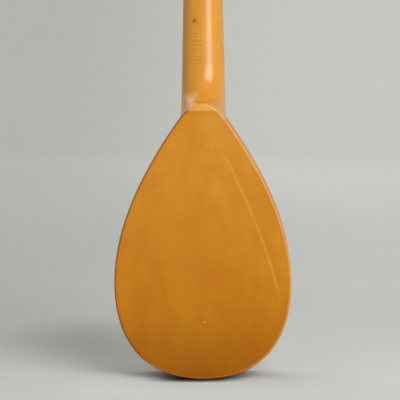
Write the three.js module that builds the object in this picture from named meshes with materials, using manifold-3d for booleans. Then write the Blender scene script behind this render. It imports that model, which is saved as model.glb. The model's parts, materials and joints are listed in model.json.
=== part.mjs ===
// A soprano ukulele with a teardrop body, made as the separate pieces that it is glued and screwed from.
// Millimetres. +Z runs up the neck, -Y points out of the soundboard, and the origin is under the tail.
import * as THREE from "three";
import { mergeVertices } from "three/addons/utils/BufferGeometryUtils.js";
import Module from "manifold-3d";

const wasm = await Module();
wasm.setup();

// Body
const bodyLength = 262.5;
const bodyWidth = 168;
const bodyDepth = 57;
const soundboardThickness = 2;
const backThickness = 2.4;
const ribThickness = 2;
const plateEdgeRound = 1.5;
const soundHoleDiameter = 50;
const soundHoleBelowJoint = 83;

// The body's outline, in shares of its half width and its length, and of the length below or above its widest
// place
const widestShare = 0.347;
const tailFlatShare = 0.684;
const lowerSideShare = 0.579;
const upperSideShare = 0.326;
const shoulderWidthShare = 0.295;
const shoulderHeightShare = 0.9285;
const flankShare = 0.314;
const tipRiseShare = 0.4;
const tipFlatShare = 0.427;
const shoulderLean = THREE.MathUtils.degToRad(34.8);

// Strings: the twelfth fret lies just above the neck joint, and the nut and the saddle end the scale
const scaleLength = 346;
const twelfthAboveJoint = 3;
const stringSpreadAtSaddle = 42;
const stringSpreadAtNut = 27;
const actionAtNut = 0.5;
const actionAtTwelfth = 2.5;
const outerStringDiameter = 0.6;
const cStringDiameter = 0.9;
const eStringDiameter = 0.8;

// Neck and fretboard
const fretCount = 12;
const boardWidthAtNut = 35;
const boardWidthAtJoint = 43.1;
const boardThickness = 4;
const boardOverhang = 5;
const neckDepthAtNut = 14.5;
const neckDepthAtHeel = 16.5;
const heelSweep = 40;

// Headstock
const headLength = 93;
const headFlareLength = 20;
const headCrownRise = 9;
const headWidthAtFlare = 50;
const headWidthAtTop = 56;
const headThickness = 12;
const headTilt = THREE.MathUtils.degToRad(8);

// Fits: glue lines on curved faces, running and seating clearances, and how far a cutter passes its piece
const glueLine = 0.1;
const fitGap = 0.3;
const overrun = 1;

// Geometry helpers

const vec = (x, y, z) => new THREE.Vector3(x, y, z);
const mix = (a, b, share) => a + (b - a) * share;
const smooth = (share) => share * share * (3 - 2 * share);
const steps = (count) => Array.from({ length: count }, (_, i) => (i + 1) / count);

// A closed surface through rings of points, with both end rings filled.
function loft(rings) {
  const count = rings[0].length;
  const index = [];
  for (let r = 0; r + 1 < rings.length; r += 1) {
    for (let i = 0; i < count; i += 1) {
      const a = r * count + i;
      const b = r * count + ((i + 1) % count);
      index.push(a, b, a + count, b, b + count, a + count);
    }
  }
  const last = (rings.length - 1) * count;
  for (let i = 1; i + 1 < count; i += 1) {
    index.push(0, i + 1, i);
    index.push(last, last + i, last + i + 1);
  }
  const positions = rings.flat().flatMap((p) => [p.x, p.y, p.z]);
  const geometry = new THREE.BufferGeometry();
  geometry.setAttribute("position", new THREE.Float32BufferAttribute(positions, 3));
  return geometry.setIndex(index);
}

// A solid from a closed geometry, turned right side out.
function solidOf(geometry) {
  const bare = new THREE.BufferGeometry();
  bare.setAttribute("position", geometry.getAttribute("position"));
  bare.setIndex(geometry.index);
  const merged = mergeVertices(bare);
  const triangles = [];
  for (let i = 0; i < merged.index.count; i += 3) {
    const [a, b, c] = [0, 1, 2].map((k) => merged.index.getX(i + k));
    if (a !== b && b !== c && c !== a) triangles.push([a, b, c]);
  }
  const vertProperties = merged.attributes.position.array;
  const made = (corners) => {
    const triVerts = new Uint32Array(corners.flat());
    return new wasm.Manifold(new wasm.Mesh({ numProp: 3, vertProperties, triVerts }));
  };
  const solid = made(triangles);
  return solid.volume() > 0 ? solid : made(triangles.map(([a, b, c]) => [a, c, b]));
}

// The triangles of a solid as a geometry.
function geometryOf(solid) {
  const mesh = solid.getMesh();
  const positions = new Float32Array(mesh.numVert * 3);
  for (let i = 0; i < mesh.numVert; i += 1) {
    positions.set(mesh.vertProperties.subarray(i * mesh.numProp, i * mesh.numProp + 3), i * 3);
  }
  const geometry = new THREE.BufferGeometry();
  geometry.setAttribute("position", new THREE.BufferAttribute(positions, 3));
  geometry.setIndex(new THREE.BufferAttribute(new Uint32Array(mesh.triVerts), 1));
  geometry.computeVertexNormals();
  return geometry;
}

const cut = (solid, ...tools) => tools.reduce((left, tool) => left.subtract(tool), solid);

// A box between its lowest and its highest corner.
function box(low, high) {
  const size = high.clone().sub(low);
  const geometry = new THREE.BoxGeometry(size.x, size.y, size.z);
  const middle = low.clone().add(high).divideScalar(2);
  return solidOf(geometry.translate(middle.x, middle.y, middle.z));
}

// A turned solid about the Y axis: the profile's points are [radius, y].
function turned(profile, segments) {
  const points = profile.map(([radius, y]) => new THREE.Vector2(radius, y));
  return solidOf(new THREE.LatheGeometry(points, segments));
}

const rod = (radius, yLow, yHigh, segments) =>
  turned([[0, yLow], [radius, yLow], [radius, yHigh], [0, yHigh]], segments);

// A bar across the instrument: its section's points are [y, z], and it runs from xLow to xHigh.
function barAcross(section, xLow, xHigh) {
  const ringAt = (x) => section.map(([y, z]) => vec(x, y, z));
  return solidOf(loft([ringAt(xLow), ringAt(xHigh)]));
}

// A round tube along points, its section carried along them without twist.
function tube(points, radius, sides) {
  const tangentAt = (i) => {
    const before = points[Math.max(i - 1, 0)];
    const after = points[Math.min(i + 1, points.length - 1)];
    return after.clone().sub(before).normalize();
  };
  const side = vec(1, 1, 0).cross(tangentAt(0));
  const rings = points.map((point, i) => {
    const along = tangentAt(i);
    side.addScaledVector(along, -side.dot(along)).normalize();
    const up = along.clone().cross(side);
    return Array.from({ length: sides }, (_, k) => {
      const turn = (2 * Math.PI * k) / sides;
      return point
        .clone()
        .addScaledVector(side, radius * Math.cos(turn))
        .addScaledVector(up, radius * Math.sin(turn));
    });
  });
  return solidOf(loft(rings));
}

// The body's outline: the right half, from the tail up to the tip, as three Bezier curves in x and z

const halfWidth = bodyWidth / 2;
const widestHeight = widestShare * bodyLength;
const lengthAboveWidest = bodyLength - widestHeight;
const shoulder = new THREE.Vector2(shoulderWidthShare * halfWidth, shoulderHeightShare * bodyLength);
const shoulderWay = new THREE.Vector2(-Math.sin(shoulderLean), Math.cos(shoulderLean));
const tailCurve = new THREE.CubicBezierCurve(
  new THREE.Vector2(0, 0),
  new THREE.Vector2(tailFlatShare * halfWidth, 0),
  new THREE.Vector2(halfWidth, (1 - lowerSideShare) * widestHeight),
  new THREE.Vector2(halfWidth, widestHeight),
);
const flankCurve = new THREE.CubicBezierCurve(
  new THREE.Vector2(halfWidth, widestHeight),
  new THREE.Vector2(halfWidth, widestHeight + upperSideShare * lengthAboveWidest),
  shoulder.clone().addScaledVector(shoulderWay, -flankShare * lengthAboveWidest),
  shoulder,
);
const tipCurve = new THREE.CubicBezierCurve(
  shoulder,
  shoulder.clone().addScaledVector(shoulderWay, tipRiseShare * (bodyLength - shoulder.y)),
  new THREE.Vector2(tipFlatShare * shoulder.x, bodyLength),
  new THREE.Vector2(0, bodyLength),
);

// The neck meets the body where the outline has narrowed to the neck's own width.
const halvings = 40;
function shareWhereNarrow(width) {
  let [wide, narrow] = [0, 1];
  for (let halving = 0; halving < halvings; halving += 1) {
    const middle = (wide + narrow) / 2;
    if (2 * tipCurve.getPoint(middle).x > width) wide = middle;
    else narrow = middle;
  }
  return narrow;
}
const jointShare = shareWhereNarrow(boardWidthAtJoint);
const jointHeight = tipCurve.getPoint(jointShare).y;

// Heights along the strings
const fretsInOctave = 12;
const twelfthHeight = jointHeight + twelfthAboveJoint;
const saddleHeight = twelfthHeight - scaleLength / 2;
const nutHeight = saddleHeight + scaleLength;
const soundHoleHeight = jointHeight - soundHoleBelowJoint;
const fretHeight = (fret) => saddleHeight + scaleLength * 2 ** (-fret / fretsInOctave);
const boardEndHeight = fretHeight(fretCount) - boardOverhang;
const boardHalfWidthAt = (z) =>
  mix(boardWidthAtNut, boardWidthAtJoint, (nutHeight - z) / (nutHeight - jointHeight)) / 2;

// Points of the outline, each with its outward normal
const tailSteps = 12;
const flankSteps = 10;
const tipSteps = 6;
function outlineSample(curve, share) {
  const along = curve.getTangent(share);
  return { point: curve.getPoint(share), normal: new THREE.Vector2(along.y, -along.x) };
}
const jointSample = outlineSample(tipCurve, jointShare);
const tipSamples = steps(tipSteps).map((share) => outlineSample(tipCurve, mix(jointShare, 1, share)));
const rimSamples = [
  outlineSample(tailCurve, 0),
  ...steps(tailSteps).map((share) => outlineSample(tailCurve, share)),
  ...steps(flankSteps).map((share) => outlineSample(flankCurve, share)),
  jointSample,
];
const insetPoint = (sample, inset) => sample.point.clone().addScaledVector(sample.normal, -inset);

// The whole outline, drawn in by inset, as a ring at depth y.
function bodyRing(inset, y) {
  const right = [...rimSamples, ...tipSamples].map((sample) => insetPoint(sample, inset));
  const left = right.slice(1, -1).reverse();
  return [...right.map((p) => vec(p.x, y, p.y)), ...left.map((p) => vec(-p.x, y, p.y))];
}

// Half the width of the outline, drawn in by inset, at a height between the tail and the joint.
function insetHalfWidthAt(inset, z) {
  const points = [...rimSamples, ...tipSamples].map((sample) => insetPoint(sample, inset));
  const next = Math.max(1, points.findIndex((p) => p.y >= z));
  const [a, b] = [points[next - 1], points[next]];
  return mix(a.x, b.x, (z - a.y) / (b.y - a.y));
}

// Cutters that clear all above a height, all below one, or one half of the body
const reach = bodyWidth + bodyDepth + bodyLength;
const above = (z) => box(vec(-reach, -reach, z), vec(reach, reach, z + reach));
const below = (z) => box(vec(-reach, -reach, z - reach), vec(reach, reach, z));
const halfAt = (side) =>
  box(vec(Math.min(side, 0) * reach, -reach, -reach), vec(Math.max(side, 0) * reach, reach, reach));

// Plates. The soundboard's inner face is at boardSide, and the back plate's at backSide
const boardSide = soundboardThickness;
const backSide = bodyDepth - backThickness;
const edgeRoundSteps = 3;
const soundHoleSegments = 48;

// A plate of the body's outline with its outer edge rounded: its outer face is at y, and inwards is 1 or -1.
function bodyPlate(y, thickness, inwards) {
  const rounded = [0, ...steps(edgeRoundSteps)].map((share) => {
    const angle = (Math.PI / 2) * share;
    const [inset, sunk] = [1 - Math.sin(angle), 1 - Math.cos(angle)].map((part) => part * plateEdgeRound);
    return bodyRing(inset, y + inwards * sunk);
  });
  return solidOf(loft([...rounded, bodyRing(0, y + inwards * thickness)]));
}

function makeSoundboard() {
  const hole = rod(soundHoleDiameter / 2, -overrun, boardSide + overrun, soundHoleSegments);
  const plate = bodyPlate(0, soundboardThickness, 1);
  return cut(plate, above(jointHeight), hole.translate([0, 0, soundHoleHeight]));
}

const makeBackPlate = () => bodyPlate(bodyDepth, backThickness, -1);

// A strip along one side of the body: outer and inner are [inset, first y, second y] of its two faces.
function stripAlongSide(side, outer, inner) {
  const rings = [...rimSamples, tipSamples[0]].map((sample) => {
    const [far, near] = [insetPoint(sample, outer[0]), insetPoint(sample, inner[0])];
    return [
      vec(side * far.x, outer[1], far.y),
      vec(side * far.x, outer[2], far.y),
      vec(side * near.x, inner[2], near.y),
      vec(side * near.x, inner[1], near.y),
    ];
  });
  return solidOf(loft(rings));
}

// Ribs, which meet at the tail and end at the neck joint.
function makeRib(side) {
  const strip = stripAlongSide(side, [0, boardSide, backSide], [ribThickness, boardSide, backSide]);
  return cut(strip, halfAt(-side), above(jointHeight));
}

// Blocks, which fill the body from rib to rib at the neck and at the tail
const neckBlockLength = 30;
const tailBlockThickness = 12;
const tailBlockWidth = 44;
const blockInset = ribThickness + glueLine;
const neckBlockFoot = jointHeight - neckBlockLength;
const tailBlockTop = ribThickness + tailBlockThickness;

// The tenon on the heel, which the neck block's mortise takes
const tenonWidth = 14;
const tenonLength = 18;
const tenonWall = 7;
const tenonLow = vec(-tenonWidth / 2, boardSide + tenonWall, jointHeight - tenonLength);
const tenonHigh = vec(tenonWidth / 2, backSide - tenonWall, jointHeight + overrun);
const allRound = vec(fitGap, fitGap, fitGap);

const insideOfBody = () => solidOf(loft([bodyRing(blockInset, boardSide), bodyRing(blockInset, backSide)]));

function makeNeckBlock() {
  const mortise = box(tenonLow.clone().sub(allRound), tenonHigh.clone().add(allRound));
  return cut(insideOfBody(), above(jointHeight), below(neckBlockFoot), mortise);
}

function makeTailBlock() {
  const halfBlock = tailBlockWidth / 2;
  const kept = box(vec(-halfBlock, 0, 0), vec(halfBlock, bodyDepth, tailBlockTop));
  return insideOfBody().intersect(kept);
}

// Linings, which widen the glue joint between each rib and a plate: the inner face of the strip slopes away
const liningThickness = 5;
const liningDepth = 9;
const liningEdge = 3;

function makeLining(side, y, inwards) {
  const outer = [blockInset, y, y + inwards * liningDepth];
  const inner = [blockInset + liningThickness, y, y + inwards * liningEdge];
  const halfTailBlock = tailBlockWidth / 2 + glueLine;
  const besideTailBlock = box(
    vec(-halfTailBlock, -overrun, -overrun),
    vec(halfTailBlock, bodyDepth + overrun, tailBlockTop + liningThickness),
  );
  return cut(stripAlongSide(side, outer, inner), above(neckBlockFoot - glueLine), besideTailBlock);
}

// The patch that stiffens the soundboard under the bridge
const patchWidth = 76;
const patchHeight = 28;
const patchThickness = 2;
const patchTop = saddleHeight + patchHeight / 2;

function makeBridgePatch() {
  const halfPatch = patchWidth / 2;
  return box(
    vec(-halfPatch, boardSide, patchTop - patchHeight),
    vec(halfPatch, boardSide + patchThickness, patchTop),
  );
}

// Braces: bars glued across a plate between its linings, thinner towards their ends. The soundboard's lie
// midway from the sound hole to the neck block and to the bridge patch. The back's lie below the neck block
// and where the back is widest
const braceWidth = 6;
const braceDepth = 8;
const braceEndDepth = 3;
const braceTaper = 18;
const upperBackBraceBelowBlock = 26;
const aboveHoleBraceHeight = (soundHoleHeight + soundHoleDiameter / 2 + neckBlockFoot) / 2;
const belowHoleBraceHeight = (soundHoleHeight - soundHoleDiameter / 2 + patchTop) / 2;
const upperBackBraceHeight = neckBlockFoot - upperBackBraceBelowBlock;

function makeBrace(height, y, inwards) {
  const inset = blockInset + liningThickness + fitGap;
  const edges = [height - braceWidth / 2, height + braceWidth / 2];
  const end = Math.min(...edges.map((z) => insetHalfWidthAt(inset, z)));
  const profile = [
    [-end, 0],
    [-end, braceEndDepth],
    [braceTaper - end, braceDepth],
    [end - braceTaper, braceDepth],
    [end, braceEndDepth],
    [end, 0],
  ];
  const rings = edges.map((z) => profile.map(([x, depth]) => vec(x, y + inwards * depth, z)));
  return solidOf(loft(rings));
}

// The headstock leans back about the line where its face leaves the nut
const nutThickness = 5;
const headPivot = vec(0, 0, nutHeight + nutThickness);
const headMatrix = new THREE.Matrix4()
  .makeTranslation(headPivot.x, headPivot.y, headPivot.z)
  .multiply(new THREE.Matrix4().makeRotationX(-headTilt));
// A point of the headstock: x across, height above its face, and length along it from the pivot.
const headPoint = (x, height, length) => vec(x, -height, length).applyMatrix4(headMatrix);

// The strings from the bass side to the treble side, with the side and row of each one's post
const tuners = [
  { string: "g", diameter: outerStringDiameter, side: -1, row: 0 },
  { string: "c", diameter: cStringDiameter, side: -1, row: 1 },
  { string: "e", diameter: eStringDiameter, side: 1, row: 1 },
  { string: "a", diameter: outerStringDiameter, side: 1, row: 0 },
];
const postLengths = [27, 61];
const postSpreads = [33, 36];
const postX = (tuner) => (tuner.side * postSpreads[tuner.row]) / 2;
const postLength = (tuner) => postLengths[tuner.row];
function stringX(tuner, z) {
  const spread = mix(stringSpreadAtNut, stringSpreadAtSaddle, (nutHeight - z) / scaleLength);
  return spread * (tuners.indexOf(tuner) / (tuners.length - 1) - 1 / 2);
}

// Tuner pieces, each turned about its own axis: y is the depth behind the headstock's face
const tunerSegments = 16;
const holeSegments = 8;
const postRadius = 3;
const postWaistRadius = 2.6;
const postHeight = 11.6;
const postHeadHeight = 2.2;
const postHeadBevel = 0.7;
const postShoulderRadius = 4;
const postShoulderHeight = 0.8;
const bushingWall = 0.6;
const bushingDepthShare = 0.42;
const ferruleFlangeRadius = 5;
const ferruleFlangeHeight = 0.9;
const collarRadius = 5.6;
const collarNeckRadius = 4.8;
const collarHeight = 4.5;
const collarRimShare = 0.3;
const bushingBore = postRadius + fitGap;
const bushingRadius = bushingBore + bushingWall;
const bushingDepth = bushingDepthShare * headThickness;
const flangeTop = fitGap + ferruleFlangeHeight;
const collarFace = headThickness + fitGap;
const collarBack = collarFace + collarHeight;

function makeFerrule() {
  const bevel = ferruleFlangeHeight / 2;
  return turned([
    [bushingBore, -flangeTop],
    [ferruleFlangeRadius - bevel, -flangeTop],
    [ferruleFlangeRadius, bevel - flangeTop],
    [ferruleFlangeRadius, -fitGap],
    [bushingRadius, -fitGap],
    [bushingRadius, bushingDepth],
    [bushingBore, bushingDepth],
    [bushingBore, -flangeTop],
  ], tunerSegments);
}

function makeCollar() {
  const spigotEnd = headThickness - bushingDepth;
  return turned([
    [bushingBore, spigotEnd],
    [bushingRadius, spigotEnd],
    [bushingRadius, collarFace],
    [collarRadius, collarFace],
    [collarRadius, collarFace + collarRimShare * collarHeight],
    [collarNeckRadius, collarBack],
    [bushingBore, collarBack],
    [bushingBore, spigotEnd],
  ], tunerSegments);
}

// The button: two flat wings on a round hub, which holds the post's flats and the screw's head
const buttonLength = 15;
const buttonWing = 9.5;
const buttonWingThickness = 5.6;
const buttonFootRadius = 4.4;
const buttonHubRadius = 4;
const buttonSides = 16;
const buttonStart = collarBack + fitGap;
const buttonEnd = buttonStart + buttonLength;
const postFlatsWidth = 4.4;
const postInButton = 8;
const postEnd = buttonStart + postInButton;
const screwRadius = 1.1;
const screwLength = 12;
const screwHeadRadius = 2.7;
const screwHeadHeight = 1.3;
const screwSlotWidth = 0.7;
const screwSlotDepth = 0.6;
const screwHole = screwRadius + fitGap;
const screwSeat = buttonEnd - screwHeadHeight / 2;
const screwTop = screwSeat + fitGap + screwHeadHeight;

// The button's sections as shares: how far along it, its reach to the wing's end, and its swell to the foot
const buttonSectionShares = [
  [0, 0, 1],
  [0.16, 0.02, 0.9],
  [0.3, 0.28, 0.5],
  [0.45, 0.72, 0.22],
  [0.62, 0.96, 0.1],
  [0.78, 1, 0.04],
  [0.92, 0.86, 0],
  [1, 0.6, 0],
];

function makeButton() {
  const rings = buttonSectionShares.map(([alongShare, wingShare, swellShare]) => {
    const halfReach = mix(buttonFootRadius, buttonWing, wingShare);
    const halfThickness = mix(buttonWingThickness / 2, buttonFootRadius, swellShare);
    return Array.from({ length: buttonSides }, (_, i) => {
      const turn = (2 * Math.PI * i) / buttonSides;
      const y = buttonStart + alongShare * buttonLength;
      return vec(halfThickness * Math.cos(turn), y, halfReach * Math.sin(turn));
    });
  });
  const hub = rod(buttonHubRadius, buttonStart, buttonEnd, tunerSegments);
  const halfFlats = postFlatsWidth / 2 + fitGap;
  const flats = box(
    vec(-halfFlats, buttonStart - overrun, -buttonWing),
    vec(halfFlats, postEnd + fitGap, buttonWing),
  );
  const round = rod(postRadius + fitGap, buttonStart - overrun, postEnd + fitGap, tunerSegments);
  const bore = round.intersect(flats);
  const throughHole = rod(screwHole, buttonStart, buttonEnd + overrun, holeSegments);
  const recess = rod(screwHeadRadius + fitGap, screwSeat, buttonEnd + overrun, tunerSegments);
  return cut(solidOf(loft(rings)).add(hub), bore, throughHole, recess);
}

function makeScrew() {
  const seat = screwSeat + fitGap;
  const shank = turned([
    [0, buttonEnd - screwLength],
    [screwRadius, buttonEnd - screwLength],
    [screwRadius, seat],
    [screwHeadRadius, seat],
    [screwHeadRadius, seat + screwHeadHeight / 2],
    [screwHeadRadius / 2, screwTop],
    [0, screwTop],
  ], tunerSegments);
  const halfSlot = screwSlotWidth / 2;
  const slot = box(
    vec(-screwHeadRadius, screwTop - screwSlotDepth, -halfSlot),
    vec(screwHeadRadius, screwTop + overrun, halfSlot),
  );
  return cut(shank, slot);
}

// The post: a waist with a hole for the string in front, and flats that the button grips behind
const stringHoleRadius = 0.85;
const stringHoleHeight = 8.4;

function makePost() {
  const shoulderFoot = flangeTop + fitGap;
  const shoulderTop = shoulderFoot + postShoulderHeight;
  const headFoot = postHeadHeight - postHeight;
  const solid = turned([
    [0, -postHeight],
    [postRadius - postHeadBevel, -postHeight],
    [postRadius, postHeadBevel - postHeight],
    [postRadius, headFoot],
    [postWaistRadius, headFoot + postRadius - postWaistRadius],
    [postWaistRadius, -shoulderTop],
    [postShoulderRadius, -shoulderTop],
    [postShoulderRadius, -shoulderFoot],
    [postRadius, -shoulderFoot],
    [postRadius, postEnd],
    [0, postEnd],
  ], tunerSegments);
  const stringHole = rod(stringHoleRadius, -postShoulderRadius, postShoulderRadius, holeSegments)
    .rotate([90, 0, 0])
    .translate([0, -stringHoleHeight, 0]);
  const tappedHole = rod(screwHole, buttonEnd - screwLength - fitGap, postEnd + overrun, holeSegments);
  const [halfFlats, outside] = [postFlatsWidth / 2, postRadius + overrun];
  const besideFlats = [[-outside, -halfFlats], [halfFlats, outside]].map(([xLow, xHigh]) =>
    box(vec(xLow, buttonStart, -outside), vec(xHigh, postEnd + overrun, outside)),
  );
  return cut(solid, stringHole, tappedHole, ...besideFlats);
}

// The neck: rings across it from the joint to the top of the headstock, flat in front and round behind
const spineHalfFlat = 0.4;
const sectionSteps = 8;
const heelSteps = 8;
const headRampBelowNut = 6;
const headRampSteps = 5;
const headCrownSteps = 6;
const crownEndAngle = THREE.MathUtils.degToRad(86);
const pegHoleRadius = bushingRadius + fitGap;
const headSideTop = headLength - headCrownRise;
const heelEndHeight = bodyLength + heelSweep;

// Depth of the neck's wood behind the fretboard, between the heel and the headstock.
const shaftDepthAt = (z) =>
  mix(neckDepthAtNut, neckDepthAtHeel, (nutHeight - z) / (nutHeight - heelEndHeight));

// Half the headstock's width at a length above the pivot, below its crown.
function headHalfWidthAt(length) {
  const flareShare = Math.min(length / headFlareLength, 1);
  const sideShare = Math.max(0, (length - headFlareLength) / (headSideTop - headFlareLength));
  const flared = mix(2 * boardHalfWidthAt(headPivot.z), headWidthAtFlare, smooth(flareShare));
  return (flared + sideShare * (headWidthAtTop - headWidthAtFlare)) / 2;
}

// A ring round the neck: half width in front, half width behind, and depth. squareShare makes it a rectangle.
function neckRing(halfFront, halfBack, depth, squareShare, placed) {
  const right = Array.from({ length: sectionSteps + 1 }, (_, i) => {
    const share = i / sectionSteps;
    const turn = (Math.PI / 2) * share;
    const [acrossShare, depthShare] = [Math.cos(turn), Math.sin(turn)];
    const round = [Math.hypot(halfFront * acrossShare, halfBack * depthShare), depth * depthShare];
    const square = [mix(halfBack, halfFront, Math.min(1, 2 - 2 * share)), depth * Math.min(1, 2 * share)];
    return [0, 1].map((k) => mix(round[k], square[k], squareShare));
  });
  const left = right.map(([x, y]) => [-x, y]).reverse();
  return [...right, ...left].map(([x, y]) => placed(x, y));
}

function neckRings() {
  const across = (z) => (x, y) => vec(x, y, z);
  const acrossHead = (length) => (x, y) => headPoint(x, -y, length);
  const behindTip = [jointSample, ...tipSamples].map(({ point }) =>
    neckRing(boardHalfWidthAt(point.y), Math.max(point.x, spineHalfFlat), backSide, 0, across(point.y)),
  );
  const heel = steps(heelSteps).map((share) => {
    const angle = (Math.PI / 2) * share;
    const z = heelEndHeight - heelSweep * Math.cos(angle);
    const depth = mix(backSide, shaftDepthAt(z), Math.sin(angle));
    return neckRing(boardHalfWidthAt(z), spineHalfFlat, depth, 0, across(z));
  });
  const shaftTop = nutHeight - headRampBelowNut;
  const topHalfWidth = boardHalfWidthAt(shaftTop);
  const top = neckRing(topHalfWidth, spineHalfFlat, shaftDepthAt(shaftTop), 0, across(shaftTop));
  const ramp = [0, ...steps(headRampSteps)].map((share) => {
    const length = share * headFlareLength;
    const depth = mix(neckDepthAtNut, headThickness, smooth(share));
    return neckRing(headHalfWidthAt(length), spineHalfFlat, depth, smooth(share), acrossHead(length));
  });
  const crown = [0, ...steps(headCrownSteps)].map((share) => {
    const angle = crownEndAngle * share;
    const length = headSideTop + headCrownRise * Math.sin(angle);
    const half = headHalfWidthAt(headSideTop) * Math.cos(angle);
    return neckRing(half, spineHalfFlat, headThickness, 1, acrossHead(length));
  });
  return [...behindTip, ...heel, top, ...ramp, ...crown];
}

function makeNeck() {
  const pegHoles = tuners.map((tuner) =>
    rod(pegHoleRadius, -overrun, headThickness + overrun, tunerSegments)
      .translate([postX(tuner), 0, postLength(tuner)])
      .transform(headMatrix.elements),
  );
  return cut(solidOf(loft(neckRings())).add(box(tenonLow, tenonHigh)), ...pegHoles);
}

// Fretboard and frets
const fretCrownWidth = 2;
const fretCrownHeight = 1;
const fretCrownSteps = 6;
const fretTangThickness = 0.5;
const fretTangDepth = 1.6;
const slotGap = 0.1;

function makeFretboard() {
  const [foot, top] = [boardHalfWidthAt(boardEndHeight), boardHalfWidthAt(nutHeight)];
  const rings = [-boardThickness, 0].map((y) => [
    vec(-foot, y, boardEndHeight),
    vec(foot, y, boardEndHeight),
    vec(top, y, nutHeight),
    vec(-top, y, nutHeight),
  ]);
  const halfSlot = fretTangThickness / 2 + slotGap;
  const slots = Array.from({ length: fretCount }, (_, i) =>
    box(
      vec(-boardWidthAtJoint, -boardThickness - overrun, fretHeight(i + 1) - halfSlot),
      vec(boardWidthAtJoint, fretTangDepth + slotGap - boardThickness, fretHeight(i + 1) + halfSlot),
    ),
  );
  return cut(solidOf(loft(rings)), ...slots);
}

// A fret: a rounded crown on the fretboard, with its tang in the slot.
function makeFret(fret) {
  const z = fretHeight(fret);
  const [halfCrown, halfTang] = [fretCrownWidth / 2, fretTangThickness / 2];
  const crown = [0, ...steps(fretCrownSteps)].map((share) => {
    const angle = Math.PI * share;
    return [-boardThickness - fretCrownHeight * Math.sin(angle), z + halfCrown * Math.cos(angle)];
  });
  const end = boardHalfWidthAt(z + halfCrown);
  const tang = box(
    vec(-end, -boardThickness - fretCrownHeight / 2, z - halfTang),
    vec(end, fretTangDepth - boardThickness, z + halfTang),
  );
  return barAcross(crown, -end, end).add(tang);
}

// Lift of each string's underside above the soundboard's face, by height
const stringLiftAtNut = boardThickness + fretCrownHeight + actionAtNut;
const liftPerLength = (actionAtTwelfth - actionAtNut) / (nutHeight - twelfthHeight);
const stringLiftAt = (z) => stringLiftAtNut + liftPerLength * (nutHeight - z);
const crownLift = stringLiftAt(saddleHeight);
const stringRest = 0.15;

// Nut, with a slot for each string that slopes down towards the headstock
const nutRise = 0.8;
const nutSlotWidth = 1.3;
const nutSlotDrop = 0.8;

function makeNut() {
  const half = boardHalfWidthAt(nutHeight);
  const top = stringLiftAtNut + nutRise;
  const section = [
    [0, nutHeight],
    [-top, nutHeight],
    [nutRise - top, headPivot.z],
    [0, headPivot.z],
  ];
  const slots = tuners.map((tuner) => {
    const x = stringX(tuner, nutHeight);
    const slot = [
      [-stringLiftAtNut, nutHeight - overrun],
      [-top - overrun, nutHeight - overrun],
      [-top - overrun, headPivot.z + overrun],
      [nutSlotDrop - stringLiftAtNut, headPivot.z + overrun],
    ];
    return barAcross(slot, x - nutSlotWidth / 2, x + nutSlotWidth / 2);
  });
  return cut(barAcross(section, -half, half), ...slots);
}

// Bridge: a groove holds the saddle, and each string has a slit to slide into and a pocket for its knot
const bridgeWidth = 58;
const bridgeHeight = 16;
const bridgeAboveSaddle = 5;
const bridgeThickness = 6.5;
const bridgeEdgeThickness = 5.2;
const bridgeEdgeBevel = 2;
const saddleWidth = 50;
const saddleThickness = 2.6;
const saddleSeat = 3;
const slitWidth = 1.4;
const slitLength = 6;
const slitFloor = 2.2;
const pocketWidth = 3.6;
const pocketLength = 4;
const pocketFloor = 1;
const pocketRoof = 3.8;
const bridgeTop = saddleHeight + bridgeAboveSaddle;
const bridgeFoot = bridgeTop - bridgeHeight;

function makeBridge() {
  const section = [
    [0, bridgeFoot],
    [-bridgeEdgeThickness, bridgeFoot],
    [-bridgeThickness, bridgeFoot + slitLength],
    [-bridgeThickness, bridgeTop - bridgeEdgeBevel],
    [-bridgeEdgeThickness, bridgeTop],
    [0, bridgeTop],
  ];
  const [halfGroove, grooveEnd] = [saddleThickness / 2 + slotGap, saddleWidth / 2 + slotGap];
  const groove = box(
    vec(-grooveEnd, -bridgeThickness - overrun, saddleHeight - halfGroove),
    vec(grooveEnd, slotGap - saddleSeat, saddleHeight + halfGroove),
  );
  const anchors = tuners.flatMap((tuner) => {
    const x = stringX(tuner, saddleHeight);
    const [halfSlit, halfPocket] = [slitWidth / 2, pocketWidth / 2];
    const slit = box(
      vec(x - halfSlit, -bridgeThickness - overrun, bridgeFoot - overrun),
      vec(x + halfSlit, -slitFloor, bridgeFoot + slitLength),
    );
    const pocket = box(
      vec(x - halfPocket, -pocketRoof, bridgeFoot - overrun),
      vec(x + halfPocket, -pocketFloor, bridgeFoot + pocketLength),
    );
    return [slit, pocket];
  });
  return cut(barAcross(section, -bridgeWidth / 2, bridgeWidth / 2), groove, ...anchors);
}

// The saddle: a strip that stands in the groove, with a round crown.
const saddleCrownSteps = 6;

function makeSaddle() {
  const half = saddleThickness / 2;
  const shoulderY = half + stringRest - crownLift;
  const crown = [0, ...steps(saddleCrownSteps)].map((share) => {
    const angle = Math.PI * share;
    return [shoulderY - half * Math.sin(angle), saddleHeight - half * Math.cos(angle)];
  });
  const seat = [half, -half].map((offset) => [-saddleSeat, saddleHeight + offset]);
  return barAcross([...crown, ...seat], -saddleWidth / 2, saddleWidth / 2);
}

// Strings. Each is knotted in the bridge, runs over saddle and nut, and goes part of a turn round its post
const stringSides = 6;
const turnSteps = 24;
const firstWrapHeight = 3;
const firstWrapShare = 0.55;
const coilGap = 0.45;
const knotRadius = 1.2;
const coilRadius = (tuner) => postWaistRadius + fitGap + tuner.diameter / 2;

// The way round its post in which a string is wound, and the angles where it first touches and where it ends
const windingWay = (tuner) => -tuner.side;
function touchAngle(tuner) {
  const [dx, dLength] = [stringX(tuner, nutHeight) - postX(tuner), -postLength(tuner)];
  const opening = Math.acos(coilRadius(tuner) / Math.hypot(dx, dLength));
  return Math.atan2(dLength, dx) + windingWay(tuner) * opening;
}
const wrapEndAngle = (tuner) => touchAngle(tuner) + windingWay(tuner) * 2 * Math.PI * firstWrapShare;

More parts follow.
